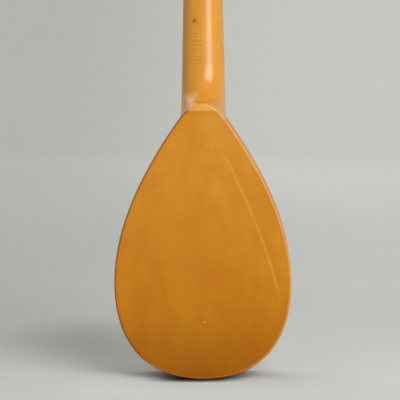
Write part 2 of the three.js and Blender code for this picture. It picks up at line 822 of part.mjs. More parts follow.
// A point on the turns round a post, as x, depth and length from the post's own middle.
const turnPoint = (tuner, angle, height) =>
  vec(coilRadius(tuner) * Math.cos(angle), -height, coilRadius(tuner) * Math.sin(angle));

// The point that carries a line on beyond its end, straight, by a length.
const carriedOn = (before, end, length) =>
  end.clone().addScaledVector(end.clone().sub(before).normalize(), length);

function stringPoints(tuner) {
  const radius = tuner.diameter / 2;
  const [saddleX, nutX] = [stringX(tuner, saddleHeight), stringX(tuner, nutHeight)];
  const nutLift = stringLiftAtNut + radius + stringRest;
  const onHead = (p) => headPoint(postX(tuner) + p.x, -p.y, postLength(tuner) + p.z);
  const wrap = [0, ...steps(Math.round(firstWrapShare * turnSteps))].map((share) =>
    turnPoint(tuner, mix(touchAngle(tuner), wrapEndAngle(tuner), share), firstWrapHeight),
  );
  const end = carriedOn(wrap.at(-2), wrap.at(-1), tuner.diameter);
  return [
    vec(saddleX, -(pocketFloor + pocketRoof) / 2, bridgeFoot + pocketLength / 2),
    vec(saddleX, -bridgeThickness - radius - stringRest, bridgeFoot + slitLength),
    vec(saddleX, -crownLift - radius, saddleHeight),
    vec(nutX, -nutLift, nutHeight),
    vec(nutX, nutSlotDrop - nutLift, headPivot.z),
    ...[...wrap, end].map(onHead),
  ];
}

function makeString(tuner) {
  const points = stringPoints(tuner);
  const knot = solidOf(new THREE.IcosahedronGeometry(knotRadius, 1)).translate(points[0].toArray());
  return tube(points, tuner.diameter / 2, stringSides).add(knot);
}

// The turns wound on a post above that, whose end goes through the hole in the post
const stringTailReach = 5;
const stringTailSteps = 6;
const hookSteps = 8;
const hookAngle = THREE.MathUtils.degToRad(50);

function windingPoints(tuner) {
  const way = windingWay(tuner);
  const leastPitch = tuner.diameter + coilGap;
  const [low, high] = [firstWrapHeight + leastPitch, stringHoleHeight - leastPitch];
  const endAngle = Math.PI / 2 - way * hookAngle;
  const turnsApart = (way * (endAngle - wrapEndAngle(tuner))) / (2 * Math.PI);
  const partTurn = turnsApart - Math.floor(turnsApart);
  const turns = partTurn + Math.floor((high - low) / leastPitch - partTurn);
  const coil = [0, ...steps(Math.round(turns * turnSteps))].map((share) =>
    turnPoint(tuner, endAngle - way * 2 * Math.PI * turns * (1 - share), mix(low, high, share)),
  );
  const hook = new THREE.QuadraticBezierCurve3(
    coil.at(-1),
    vec(0, -stringHoleHeight, coilRadius(tuner) / Math.cos(hookAngle)),
    vec(0, -stringHoleHeight, postWaistRadius / 2),
  );
  const tail = steps(stringTailSteps).map((share) =>
    vec(0, -stringHoleHeight, mix(postWaistRadius / 2, -stringTailReach, share)),
  );
  const start = carriedOn(coil[1], coil[0], tuner.diameter);
  return [start, ...coil, ...steps(hookSteps).map((share) => hook.getPoint(share)), ...tail];
}

// The least gap of a winding to itself, measured between points that lie some diameters apart along it
const diametersApart = 4;
function leastGap(tuner) {
  const points = windingPoints(tuner);
  const along = points.map(() => 0);
  for (let i = 1; i < points.length; i += 1) along[i] = along[i - 1] + points[i].distanceTo(points[i - 1]);
  const isApart = (i, j) => along[j] - along[i] > diametersApart * tuner.diameter;
  const distances = points.flatMap((a, i) =>
    points.filter((_, j) => isApart(i, j)).map((b) => a.distanceTo(b)),
  );
  return Math.min(...distances) - tuner.diameter;
}

const makeWinding = (tuner) => tube(windingPoints(tuner), tuner.diameter / 2, stringSides);

// Materials
function finish(color, roughness, metalness) {
  return new THREE.MeshStandardMaterial({ color, roughness, metalness });
}
const amberBirch = finish(0xc6802a, 0.35, 0);
const amberNeck = finish(0xd89339, 0.35, 0);
const paleSpruce = finish(0xd9b98a, 0.8, 0);
const darkRosewood = finish(0x3a2018, 0.5, 0);
const nickel = finish(0xc9c7c0, 0.25, 1);
const bone = finish(0xe9dfc6, 0.45, 0);
const creamPlastic = finish(0xe8dcc0, 0.3, 0);
const clearNylon = finish(0xd8d2c4, 0.3, 0);

// Assembly
const ukulele = new THREE.Group();

function addPiece(parent, name, solid, material) {
  const mesh = new THREE.Mesh(geometryOf(solid), material);
  mesh.name = name;
  parent.add(mesh);
}

addPiece(ukulele, "soundboard", makeSoundboard(), amberBirch);
addPiece(ukulele, "back_plate", makeBackPlate(), amberBirch);
for (const [name, side] of [["bass", -1], ["treble", 1]]) {
  addPiece(ukulele, `rib_${name}`, makeRib(side), amberBirch);
  addPiece(ukulele, `soundboard_lining_${name}`, makeLining(side, boardSide, 1), paleSpruce);
  addPiece(ukulele, `back_lining_${name}`, makeLining(side, backSide, -1), paleSpruce);
}
addPiece(ukulele, "neck_block", makeNeckBlock(), paleSpruce);
addPiece(ukulele, "tail_block", makeTailBlock(), paleSpruce);
addPiece(ukulele, "upper_soundboard_brace", makeBrace(aboveHoleBraceHeight, boardSide, 1), paleSpruce);
addPiece(ukulele, "lower_soundboard_brace", makeBrace(belowHoleBraceHeight, boardSide, 1), paleSpruce);
addPiece(ukulele, "upper_back_brace", makeBrace(upperBackBraceHeight, backSide, -1), paleSpruce);
addPiece(ukulele, "lower_back_brace", makeBrace(widestHeight, backSide, -1), paleSpruce);
addPiece(ukulele, "bridge_patch", makeBridgePatch(), paleSpruce);
addPiece(ukulele, "neck", makeNeck(), amberNeck);
addPiece(ukulele, "fretboard", makeFretboard(), darkRosewood);
for (let fret = 1; fret <= fretCount; fret += 1) {
  addPiece(ukulele, `fret_${String(fret).padStart(2, "0")}`, makeFret(fret), nickel);
}
addPiece(ukulele, "nut", makeNut(), bone);
addPiece(ukulele, "bridge", makeBridge(), darkRosewood);
addPiece(ukulele, "saddle", makeSaddle(), bone);

const headstock = new THREE.Group();
headstock.position.copy(headPivot);
headstock.rotation.x = -headTilt;
ukulele.add(headstock);

for (const tuner of tuners) {
  const onPost = new THREE.Group();
  onPost.position.set(postX(tuner), 0, postLength(tuner));
  headstock.add(onPost);
  addPiece(ukulele, `string_${tuner.string}`, makeString(tuner), clearNylon);
  addPiece(onPost, `string_winding_${tuner.string}`, makeWinding(tuner), clearNylon);
  addPiece(onPost, `tuner_ferrule_${tuner.string}`, makeFerrule(), nickel);
  addPiece(onPost, `tuner_post_${tuner.string}`, makePost(), nickel);
  addPiece(onPost, `tuner_collar_${tuner.string}`, makeCollar(), nickel);
  addPiece(onPost, `tuner_button_${tuner.string}`, makeButton(), creamPlastic);
  addPiece(onPost, `tuner_screw_${tuner.string}`, makeScrew(), nickel);
}

// The origin lies under the tail, midway between the strings over the saddle and the back.
const frontReach = crownLift + Math.max(...tuners.map((tuner) => tuner.diameter));
ukulele.position.y = (frontReach - bodyDepth) / 2;

const leastGaps = tuners.map((tuner) => leastGap(tuner).toFixed(3));
console.log("least gap of each winding to itself:", leastGaps.join(" "));

export default ukulele;
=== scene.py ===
# %% [markdown]
# # A soprano ukulele with a teardrop body
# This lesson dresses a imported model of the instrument. The model already has every piece at its real size,
# with flat facets and plain colours. Here each piece that shows gets a fine surface worked out with numpy,
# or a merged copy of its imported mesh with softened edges, and each finish is a material made of nodes.

import json
import math

import bmesh
import bpy
import numpy as np
from mathutils import Matrix, Vector


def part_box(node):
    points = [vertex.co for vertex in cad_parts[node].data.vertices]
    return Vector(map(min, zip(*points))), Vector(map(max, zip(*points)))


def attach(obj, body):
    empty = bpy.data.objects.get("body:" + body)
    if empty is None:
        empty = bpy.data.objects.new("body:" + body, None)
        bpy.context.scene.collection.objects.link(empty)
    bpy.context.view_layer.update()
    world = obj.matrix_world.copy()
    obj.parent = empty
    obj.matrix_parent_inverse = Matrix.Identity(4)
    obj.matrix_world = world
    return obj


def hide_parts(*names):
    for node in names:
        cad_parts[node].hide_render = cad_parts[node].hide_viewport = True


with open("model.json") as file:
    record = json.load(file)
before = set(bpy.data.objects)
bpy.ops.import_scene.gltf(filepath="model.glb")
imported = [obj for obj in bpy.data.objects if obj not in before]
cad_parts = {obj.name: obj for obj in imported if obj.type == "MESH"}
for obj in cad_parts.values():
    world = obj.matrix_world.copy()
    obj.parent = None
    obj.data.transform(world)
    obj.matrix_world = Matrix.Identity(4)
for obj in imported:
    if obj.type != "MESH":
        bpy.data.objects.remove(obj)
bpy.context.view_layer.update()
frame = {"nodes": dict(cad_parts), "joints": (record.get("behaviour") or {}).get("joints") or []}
mm = 0.001

# %% [markdown]
# ## What the model says
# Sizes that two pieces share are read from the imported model's corners and joints. They could be typed in
# again, but a size that is written twice can come to differ, and this way nothing is fitted by eye. The
# soundboard faces -Y, the back faces +Y, and the neck runs up +Z.

# %% Sizes read from the model


def corners(node):
    """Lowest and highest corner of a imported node, as arrays."""
    low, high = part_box(node)
    return np.array(low), np.array(high)


board_low, board_high = corners("soundboard")
back_low, back_high = corners("back_plate")
nut_low, nut_high = corners("nut")
saddle_low, saddle_high = corners("saddle")
fretboard_low, bridge_low, neck_high = corners("fretboard")[0], corners("bridge")[0], corners("neck")[1]
face_y, board_inside_y = board_low[1], board_high[1]
back_y, back_inside_y = back_high[1], back_low[1]
half_width = back_high[0]
body_length = back_high[2]
joint_z = board_high[2]
nut_z, pivot_z = nut_low[2], nut_high[2]
saddle_z = (saddle_low[2] + saddle_high[2]) / 2
scale_length = nut_z - saddle_z
print("body length and width in mm:", round(body_length / mm, 1), round(2 * half_width / mm, 1))
print("scale length in mm:", round(scale_length / mm, 1))

# %% [markdown]
# ## The camera
# The picture looks at the back of the instrument, nearly square on, from about two metres. The neck's
# middle shows a little to the right of the body's, so the camera stands a little to that side. One pixel is
# about 0.95 mm at the back's face, and a slight roll sets the lean. The lens could be tried by eye, but it
# follows from the distance and the width of the picture.

# %% Camera
picture_side = 400
pixel = 0.945 * mm
aim_aside, aim_height = 2.2 * mm, 171.3 * mm
camera_distance = 2.0
camera_aside = math.radians(1.6)
camera_above = math.radians(4.5)
camera_roll = math.radians(-0.3)
sensor_width = 36

target = Vector((aim_aside, back_y, aim_height))
away = Vector((
    -math.sin(camera_aside) * math.cos(camera_above),
    math.cos(camera_aside) * math.cos(camera_above),
    math.sin(camera_above),
))
camera_data = bpy.data.cameras.new("camera")
camera_data.sensor_width = sensor_width
camera_data.lens = sensor_width * camera_distance / (picture_side * pixel)
camera = bpy.data.objects.new("camera", camera_data)
camera.location = target + camera_distance * away
turned_camera = away.to_track_quat("Z", "Y").to_matrix() @ Matrix.Rotation(camera_roll, 3, "Z")
camera.rotation_euler = turned_camera.to_euler()
bpy.context.scene.collection.objects.link(camera)
bpy.context.scene.camera = camera
print("lens in mm:", round(camera_data.lens, 1))

# %% [markdown]
# ## Surfaces from arrays
# A surface here is a grid of points: rows of points, each row as long as the next. Faces join neighbours,
# and a grid may close on itself either way. Points that fall together are welded, so a row may shrink to
# one point and make a pole. A grid that encloses a negative volume is inside out, and gets its faces
# turned. The same shapes could be modelled by hand, with extrusions and loop cuts. A formula is chosen
# because it states real measures, and because a few helpers then serve every piece.

# %% Grids
weld_distance = 1e-7


def grid_faces(rows, columns, loop_rows, loop_columns):
    """Each face joins a point, its neighbour along the row, and the two beside them in the next row."""
    number = np.arange(rows * columns).reshape(rows, columns)
    if loop_rows:
        number = np.vstack([number, number[:1]])
    if loop_columns:
        number = np.hstack([number, number[:, :1]])
    a, b, c, d = number[:-1, :-1], number[:-1, 1:], number[1:, 1:], number[1:, :-1]
    return np.stack([a, b, c, d], axis=-1).reshape(-1, 4)


def weld(points, faces):
    """Points that fall together become one. Faces that lose a corner are triangles, and thinner ones go."""
    rounded_off = np.round(points / weld_distance).astype(np.int64)
    _, first, number = np.unique(rounded_off, axis=0, return_index=True, return_inverse=True)
    faces = number.ravel()[faces]
    repeated = faces == np.roll(faces, -1, axis=1)
    four = faces[~repeated.any(axis=1)]
    four = four[(four[:, 0] != four[:, 2]) & (four[:, 1] != four[:, 3])]
    one = repeated.sum(axis=1) == 1
    three = faces[one][~repeated[one]].reshape(-1, 3)
    return first, four, three


def signed_volume(points, four, three):
    """Each triangle spans a pyramid with the origin, and the pyramids' volumes add up to that inside."""
    triangles = np.vstack([four[:, [0, 1, 2]], four[:, [0, 2, 3]], three])
    a, b, c = (points[triangles[:, k]] for k in range(3))
    return np.einsum("ij,ij->", a, np.cross(b, c)) / 6


def shell(grid, loop_rows=False, **values):
    """One closed surface from a grid of points, with values kept for its points."""
    rows, columns = grid.shape[:2]
    points = grid.reshape(-1, 3)
    first, four, three = weld(points, grid_faces(rows, columns, loop_rows, True))
    points = points[first]
    if signed_volume(points - points.mean(axis=0), four, three) < 0:
        four, three = four[:, ::-1], three[:, ::-1]
    used = np.unique(np.concatenate([four.ravel(), three.ravel()]))
    number = np.zeros(len(points), int)
    number[used] = np.arange(len(used))
    kept = {}
    for key, value in values.items():
        kept[key] = np.broadcast_to(value, (rows, columns)).ravel()[first][used]
    return points[used], number[four], number[three], kept


def capped(grid, first, last):
    """The grid with a pole added at each end."""
    poles = [np.broadcast_to(pole, (1, *grid.shape[1:])) for pole in (first, last)]
    return np.concatenate([poles[0], grid, poles[1]])


print("faces between 3 rows of 3 points:", len(grid_faces(3, 3, False, False)))

# %% Solids
crease_angle = 38


def solid(name, shells, crease=crease_angle):
    """A mesh object of closed shells, smooth but for its sharp edges."""
    starts = np.cumsum([0] + [len(points) for points, *_ in shells])
    faces = []
    for (_, four, three, _), start in zip(shells, starts):
        faces += (four + start).tolist() + (three + start).tolist()
    mesh = bpy.data.meshes.new(name)
    mesh.from_pydata(np.vstack([points for points, *_ in shells]).tolist(), [], faces)
    for key in shells[0][3]:
        attribute = mesh.attributes.new(key, "FLOAT", "POINT")
        attribute.data.foreach_set("value", np.concatenate([s[3][key] for s in shells]).astype(np.float32))
    mesh.polygons.foreach_set("use_smooth", np.ones(len(mesh.polygons), bool))
    mesh.set_sharp_from_angle(angle=math.radians(crease))
    made = bpy.data.objects.new(name, mesh)
    bpy.context.scene.collection.objects.link(made)
    return made


def fitted(made, material, slot, body="instrument", stands_for=()):
    """A finished object gets its material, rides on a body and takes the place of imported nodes."""
    made.data.materials.clear()
    made.data.materials.append(material)
    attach(made, body)
    if stands_for:
        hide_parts(*stands_for)
    return made


def carved(made, others, operation):
    """The object after a boolean with other solids, which are then dropped."""
    for other in others:
        step = made.modifiers.new("carve", "BOOLEAN")
        step.operation, step.solver, step.object = operation, "EXACT", other
    whole = bpy.data.meshes.new_from_object(made.evaluated_get(bpy.context.evaluated_depsgraph_get()))
    made.modifiers.clear()
    made.data = whole
    for other in others:
        bpy.data.objects.remove(other)
    return made


print("edges are sharp above degrees:", crease_angle)

# %% [markdown]
# ## Helpers for outlines and paths
# Curves are sampled as whole arrays. A line of points can be spaced evenly by its length, its corners can
# be rounded, and a circle can be carried along it or turned about an axis. Blender has curve objects for
# this, but points in an array can be measured, cut short and drawn in before any mesh is made.

# %% Curves
longest_cut_share = 0.49


def bezier(ends, count):
    """A cubic Bezier curve: its corners weighted by (1-t)^3, 3t(1-t)^2, 3t^2(1-t) and t^3."""
    t = np.linspace(0, 1, count)[:, None]
    a, b, c, d = np.array(ends, float)
    return (1 - t) ** 3 * a + 3 * t * (1 - t) ** 2 * b + 3 * t**2 * (1 - t) * c + t**3 * d


def length_along(line):
    """How far along a line of points each point lies."""
    return np.concatenate([[0], np.cumsum(np.linalg.norm(np.diff(line, axis=0), axis=1))])


def evenly(line, count):
    """The line with its points spaced evenly by length."""
    along = length_along(line)
    at = np.linspace(0, along[-1], count)
    return np.column_stack([np.interp(at, along, line[:, k]) for k in range(line.shape[1])])


def rounded(line, radius, steps=5):
    """Each inner corner p becomes (1-t)^2 a + 2t(1-t) p + t^2 b, a curve between two points beside it."""
    line = np.array(line, float)
    before, corner, after = line[:-2], line[1:-1], line[2:]
    reach = [np.linalg.norm(other - corner, axis=1, keepdims=True) for other in (before, after)]
    cut = np.minimum(radius, longest_cut_share * np.minimum(*reach))
    a = (corner + cut / reach[0] * (before - corner))[:, None]
    b = (corner + cut / reach[1] * (after - corner))[:, None]
    t = np.linspace(0, 1, steps)[None, :, None]
    bend = (1 - t) ** 2 * a + 2 * t * (1 - t) * corner[:, None] + t**2 * b
    return np.vstack([line[:1], bend.reshape(-1, line.shape[1]), line[-1:]])


def smooth(share):
    """A share from 0 to 1 that starts and ends level: 3t^2 - 2t^3."""
    share = np.clip(share, 0, 1)
    return share * share * (3 - 2 * share)


def mix(a, b, share):
    """From a to b by a share."""
    return a + (b - a) * share


def quarter_round(radius, count):
    """Inset and depth of a rounded edge, from a face (inset = radius) round to a side (depth = radius)."""
    angle = np.linspace(0, math.pi / 2, count)
    return radius * np.column_stack([1 - np.sin(angle), 1 - np.cos(angle)])


print("the middle of an arch of four corners:", bezier([(0, 0), (0, 1), (1, 1), (1, 0)], 3)[1])

# %% Turned and carried surfaces
upright = np.array([0, 0, 1.0])
cylinder = [(0, 0), (1, 0), (1, 1), (0, 1)]


def lathe(base, out, profile, sides=48, closed=False):
    """Each profile point (radius, height) goes round the axis: base + height out + radius (cos x + sin y)."""
    profile = np.array(profile, float)
    around = np.linspace(0, 2 * math.pi, sides, endpoint=False)
    across = np.array([1.0, 0, 0])
    ring = np.cos(around)[:, None] * across + np.sin(around)[:, None] * np.cross(out, across)
    grid = base + profile[:, 1, None, None] * out + profile[:, 0, None, None] * ring
    return shell(grid, loop_rows=closed)


def tube(path, radius, aside, sides=14, cap_steps=4):
    """A circle in the plane of two normals is carried along a path, and its ends shrink to rounded tips."""
    way = np.gradient(path, axis=0)
    way /= np.linalg.norm(way, axis=1)[:, None]
    angle = np.linspace(math.pi / 2, 0, cap_steps, endpoint=False)[:, None]
    first_tip = path[0] - radius * np.sin(angle) * way[0]
    last_tip = path[-1] + radius * np.sin(angle[::-1]) * way[-1]
    centres = np.vstack([first_tip, path, last_tip])
    ways = np.vstack([np.repeat(way[:1], cap_steps, 0), way, np.repeat(way[-1:], cap_steps, 0)])
    radii = radius * np.vstack([np.cos(angle), np.ones((len(path), 1)), np.cos(angle[::-1])])
    side = np.cross(ways, aside)
    side /= np.linalg.norm(side, axis=1)[:, None]
    around = np.linspace(0, 2 * math.pi, sides, endpoint=False)[None, :, None]
    ring = np.cos(around) * side[:, None] + np.sin(around) * np.cross(ways, side)[:, None]
    return shell(centres[:, None] + radii[:, None] * ring)


print("points of a turned cylinder:", len(lathe(0 * upright, upright, cylinder)[0]))

# %% [markdown]
# ## Materials made of nodes
# A field is what a node gives at each point of a surface: a number, a colour or a place. Plain arithmetic
# on fields adds the nodes that do it, so a pattern reads like its formula. The woods read Object
# coordinates, which are metres here, so a pattern's scale is a real one. Where a strip of wood is bent, its
# grain follows the strip, and the pattern reads values kept on the mesh instead: how far along and across
# the strip a point is.

# %% Fields


class Field:
    """What a node gives at each point. Sums, differences and products of fields are fields again."""

    def __init__(self, socket):
        self.socket, self.tree = socket, socket.id_data

    def maths(self, operation, other=0.0, swapped=False):
        """A Math node on this field and another value, in this order or swapped."""
        a, b = (other, self) if swapped else (self, other)
        return add(self.tree, "Math", {0: a, 1: b}, operation=operation)

    def __add__(self, other):
        return self.maths("ADD", other)

    def __mul__(self, other):
        return self.maths("MULTIPLY", other)

    def __sub__(self, other):
        return self.maths("SUBTRACT", other)

    def __rsub__(self, other):
        return self.maths("SUBTRACT", other, swapped=True)

    def __abs__(self):
        return self.maths("ABSOLUTE")

    __radd__, __rmul__ = __add__, __mul__


def add(tree, kind, inputs=(), output=0, **settings):
    """One output of a new node. Settings are its properties; inputs are numbers, colours or fields."""
    made = tree.nodes.new("ShaderNode" + kind)
    for key, value in settings.items():
        setattr(made, key, value)
    for key, value in dict(inputs).items():
        if isinstance(value, Field):
            tree.links.new(value.socket, made.inputs[key])
        else:
            made.inputs[key].default_value = value
    return Field(made.outputs[output])


def object_coordinates(tree):
    """Metres from the instrument's origin."""
    return add(tree, "TexCoord", output="Object")


def part(place, axis):
    """One coordinate of a place."""
    return add(place.tree, "SeparateXYZ", {0: place}, axis)


def kept_value(tree, name):
    """A value kept on the mesh's points."""
    return add(tree, "Attribute", output="Fac", attribute_name=name)


def strip_coordinates(tree):
    """Across and along a bent strip, from the values kept on its mesh."""
    return add(tree, "CombineXYZ", {"X": kept_value(tree, "across"), "Z": kept_value(tree, "along")})


print("fields start from:", [made.__name__ for made in (object_coordinates, kept_value, strip_coordinates)])

# %% Patterns


def between(value, low, high, to_low=0.0, to_high=1.0):
    """Maps a value from one range to another, smoothly, and holds it at the ends."""
    inputs = {"Value": value, "From Min": low, "From Max": high, "To Min": to_low, "To Max": to_high}
    return add(value.tree, "MapRange", inputs, interpolation_type="SMOOTHSTEP")


def fading(value, low, high, share=1.0):
    """A share that fades to nothing as a value goes from low to high."""
    return between(value, low, high, share, 0.0)


def within(value, low, high, fade):
    """One between two ends and nothing beyond them, with a soft fade inside each."""
    return between(value, low, low + fade) * fading(value, high - fade, high)


def blend(share, a, b, way="MIX"):
    """One colour laid over another by a share. A Mix node's colours are its inputs 6 and 7 and output 2."""
    return add(share.tree, "Mix", {0: share, 6: a, 7: b}, 2, data_type="RGBA", blend_type=way)


def noise(at, grain, detail=3.0, roughness=0.5, distortion=0.0):
    """Soft noise from 0 to 1, with about as many grains a metre each way as the grain says."""
    vector = add(at.tree, "Mapping", {"Vector": at, "Scale": grain})
    inputs = {"Vector": vector, "Scale": 1.0, "Detail": detail, "Roughness": roughness}
    return add(at.tree, "TexNoise", {**inputs, "Distortion": distortion}, "Fac")


def swing(at, grain, **settings):
    """Noise less a half, so that it swings about nought."""
    return noise(at, grain, **settings) - 0.5


def distance_from(middle, x, z, flatness=1.0):
    """How far (x, z) is from a middle: the root of across^2 + (flatness times up)^2."""
    across, up = x - middle[0], flatness * (z - middle[1])
    return (across * across + up * up).maths("SQRT")


def relief(height, depth, strength):
    """Normals bent as by a relief, which is so many metres deep where the height is one."""
    return add(height.tree, "Bump", {"Height": height, "Distance": depth, "Strength": strength})


print("patterns:", [made.__name__ for made in (between, fading, within, blend, noise, swing, relief)])

# %% Colours and new materials


def colour(red, green, blue):
    """A screen colour, 0 to 255 a channel, as the linear colour that a shader takes."""
    screen = np.array([red, green, blue]) / 255
    linear = np.where(screen <= 0.04045, screen / 12.92, ((screen + 0.055) / 1.055) ** 2.4)
    return (*linear.tolist(), 1.0)


def new_material(name, sockets):
    """A material whose Principled shader has some plain sockets set, with that shader and its tree."""
    material = bpy.data.materials.new(name)
    material.use_nodes = True
    shader = material.node_tree.nodes["Principled BSDF"]
    for key, value in sockets.items():
        shader.inputs[key].default_value = value
    return material, shader, material.node_tree


def plug(shader, fields):
    """Joins fields to the shader's sockets."""
    for key, field in fields.items():
        field.tree.links.new(field.socket, shader.inputs[key])


print("a screen grey of 128 is linear:", round(colour(128, 128, 128)[0], 3))

# %% [markdown]
# ## Amber lacquered birch
# The body and the neck are a pale, close wood under an amber lacquer. Birch has no strong rings: it shows
# soft clouds, fine fibres along the grain, and a few faint flames across it. The lacquer gives a deep
# orange colour and a soft gloss, a little uneven from the brush. Towards the tail the colour deepens, which
# is painted shade for the light that falls off towards the floor. A picture of a board could be wrapped
# round each piece, but its seams would show at the heel. So the solid wood is filled with noise of several
# sizes, mostly stretched along the grain, and each piece is cut from it.

# %% Lacquered wood
amber = colour(196, 118, 21), colour(209, 143, 51)
neck_amber = colour(206, 126, 16), colour(219, 151, 44)
pore_colour = colour(150, 84, 30)
# From each height down to the tail, the wood deepens by a tint: painted shade, for the light that falls off
# towards the floor.
tail_shade_tints = {260 * mm: (0.82, 0.72, 0.05, 1.0), 90 * mm: (0.73, 0.62, 0.1, 1.0)}
body_lacquer = {"Specular IOR Level": 0.0, "Coat Weight": 0.36, "Coat Roughness": 0.2}
neck_lacquer = {"Specular IOR Level": 0.0, "Coat Weight": 1.0, "Coat Roughness": 0.25, "Coat IOR": 1.6}
cloud_grain, mottle_grain, fibre_grain = (24, 24, 11), (75, 75, 48), (900, 900, 26)
flame_grain, flamed_grain, pore_grain = (45, 45, 300), (22, 22, 18), (2200, 2200, 90)
gloss_grain, brush_grain = (60, 60, 40), (130, 130, 70)
cloud_amount, mottle_amount, fibre_amount, flame_amount, pore_amount = 1.1, 0.9, 0.4, 0.8, 0.1
flamed_range, pore_range, gloss_range = (0.5, 0.68), (0.66, 0.76), (0.2, 0.8)
lacquer_roughness = (0.36, 0.48)
brush_depth, brush_strength, fibre_in_brush = 0.1 * mm, 0.4, 0.12


def lacquered_wood(name, coordinates, figure=None, tones=amber, lacquer=body_lacquer):
    """The colour runs from deep to pale by a sum of clouds, mottling, fibres along Z and flames across it."""
    material, shader, tree = new_material(name, lacquer)
    at = coordinates(tree)
    fibres = noise(at, fibre_grain, roughness=0.6)
    flamed = between(noise(at, flamed_grain, detail=1.0), *flamed_range)
    share = 0.5 + cloud_amount * swing(at, cloud_grain, detail=2.0) + mottle_amount * swing(at, mottle_grain)
    share += fibre_amount * (fibres - 0.5) + flame_amount * flamed * swing(at, flame_grain, distortion=0.8)
    pores = between(noise(at, pore_grain, detail=1.0), *pore_range, 0.0, pore_amount)
    wood = blend(pores, blend(share, *tones), pore_colour, "MULTIPLY")
    height = part(object_coordinates(tree), "Z")
    # Painted shade: the wood deepens towards the tail, for the light that falls off towards the floor.
    for top, tint in tail_shade_tints.items():
        wood = blend(fading(height, 0.0, top), wood, tint, "MULTIPLY")
    if figure:
        wood = figure(tree, wood)
    gloss = between(noise(at, gloss_grain), *gloss_range, *lacquer_roughness)
    brushed = fibre_in_brush * fibres + noise(at, brush_grain, detail=2.0)
    normal = relief(brushed, brush_depth, brush_strength)
    plug(shader, {"Base Color": wood, "Roughness": gloss, "Normal": normal, "Coat Normal": normal})
    return material


rib_wood = lacquered_wood("amber_birch_bent", strip_coordinates)
print("wood material:", rib_wood.name)

# %% [markdown]
# ## The plates' own figure
# The back has a thin pale streak that curves down one side, with slightly more orange wood beside it, and a
# small ding below the middle. Near its edge a plate's lacquer is a little more orange. On the rounded edge of
# the back, light and shade are painted: a dark line of painted shade on the side away from the key lamp, a
# pale painted highlight on the side towards it, a painted reflection of the floor round the tail, and dark
# painted contact shade where it stands on the floor. The plate's tip, over the heel, is paler, with a painted
# line of shade below it.
# These marks could be painted on a texture. Each is a mask with a formula instead, which stays sharp at any
# size: those on the face read the place on the board, and those on the edge the inset kept on the mesh.

# %% Marks on the plates
streak_middle = 141 * mm
streak_at_middle, streak_slope, streak_bend = -53.3 * mm, 0.375, 0.895
streak_low, streak_high, streak_fade = 70 * mm, 226 * mm, 20 * mm
streak_half_width, streak_share, streak_colour = 2.4 * mm, 0.15, colour(250, 196, 118)
streak_wander, streak_grain = 2 * mm, (30, 30, 30)
glow_reach, glow_end, glow_tint = 16 * mm, 1 * mm, (1.0, 0.91, 0.66, 1.0)
ding_place, ding_radius, ding_flatness = (-1.6 * mm, 54.6 * mm), 2 * mm, 1.7
ding_core, ding_share, ding_colour = 0.3 * ding_radius, 0.55, colour(236, 170, 140)
edge_inset, edge_share, edge_tint = 7 * mm, 0.55, (1.0, 0.86, 0.55, 1.0)


def edge_figure(tree, wood):
    """More orange towards the edge."""
    share = fading(kept_value(tree, "inset"), 0.0, edge_inset, edge_share)
    return blend(share, wood, edge_tint, "MULTIPLY")


def back_marks(wood, at, x, z):
    """A streak along x = a + b s + c s^2, where s is the height above its middle, and a flat round ding."""
    up = z - streak_middle
    line = streak_at_middle + up * (streak_slope + streak_bend * up)
    aside = x - (line + streak_wander * swing(at, streak_grain))
    ends = within(z, streak_low, streak_high, streak_fade)
    glow = between(aside, -glow_reach, 0.0) * fading(aside, 0.0, glow_end)
    wood = blend(glow * ends, wood, glow_tint, "MULTIPLY")
    streak = fading(abs(aside), 0.0, streak_half_width, streak_share)
    wood = blend(streak * ends, wood, streak_colour)
    from_ding = distance_from(ding_place, x, z, ding_flatness)
    return blend(fading(from_ding, ding_core, ding_radius, ding_share), wood, ding_colour)


print("streak's height in mm:", round((streak_high - streak_low) / mm))

# %% Plate woods
# A dark line of painted shade on the rounded edge that faces away from the key lamp.
edge_shade_inset, edge_shade_share, edge_shade_tint = 2.2 * mm, 0.9, (0.5, 0.42, 0.4, 1.0)
# A pale painted highlight on the rounded edge towards the key lamp, and a painted reflection of the floor
# round the tail.
edge_highlight_inset, edge_highlight_share, edge_highlight_colour = 2.6 * mm, 0.42, colour(232, 168, 98)
beside_middle = 16 * mm
highlight_tail_low, highlight_tail_high = 4 * mm, 30 * mm
# Painted contact shade on the tail's rounded edge, where it stands on the floor.
contact_shade_inset, contact_shade_share, contact_shade_tint = 1.5 * mm, 0.85, (0.3, 0.26, 0.24, 1.0)
contact_shade_low, contact_shade_high = 3 * mm, 16 * mm
edge_shade_core, edge_highlight_core, contact_shade_core = 0.25 * edge_shade_inset, 0.4 * edge_highlight_inset, 0.6 * contact_shade_inset
tip_below, tip_edge, tip_share, tip_colour = 7.5 * mm, 1.5 * mm, 0.5, colour(240, 174, 88)
tip_shade_share, tip_shade = 0.4, (0.9, 0.83, 0.7, 1.0)


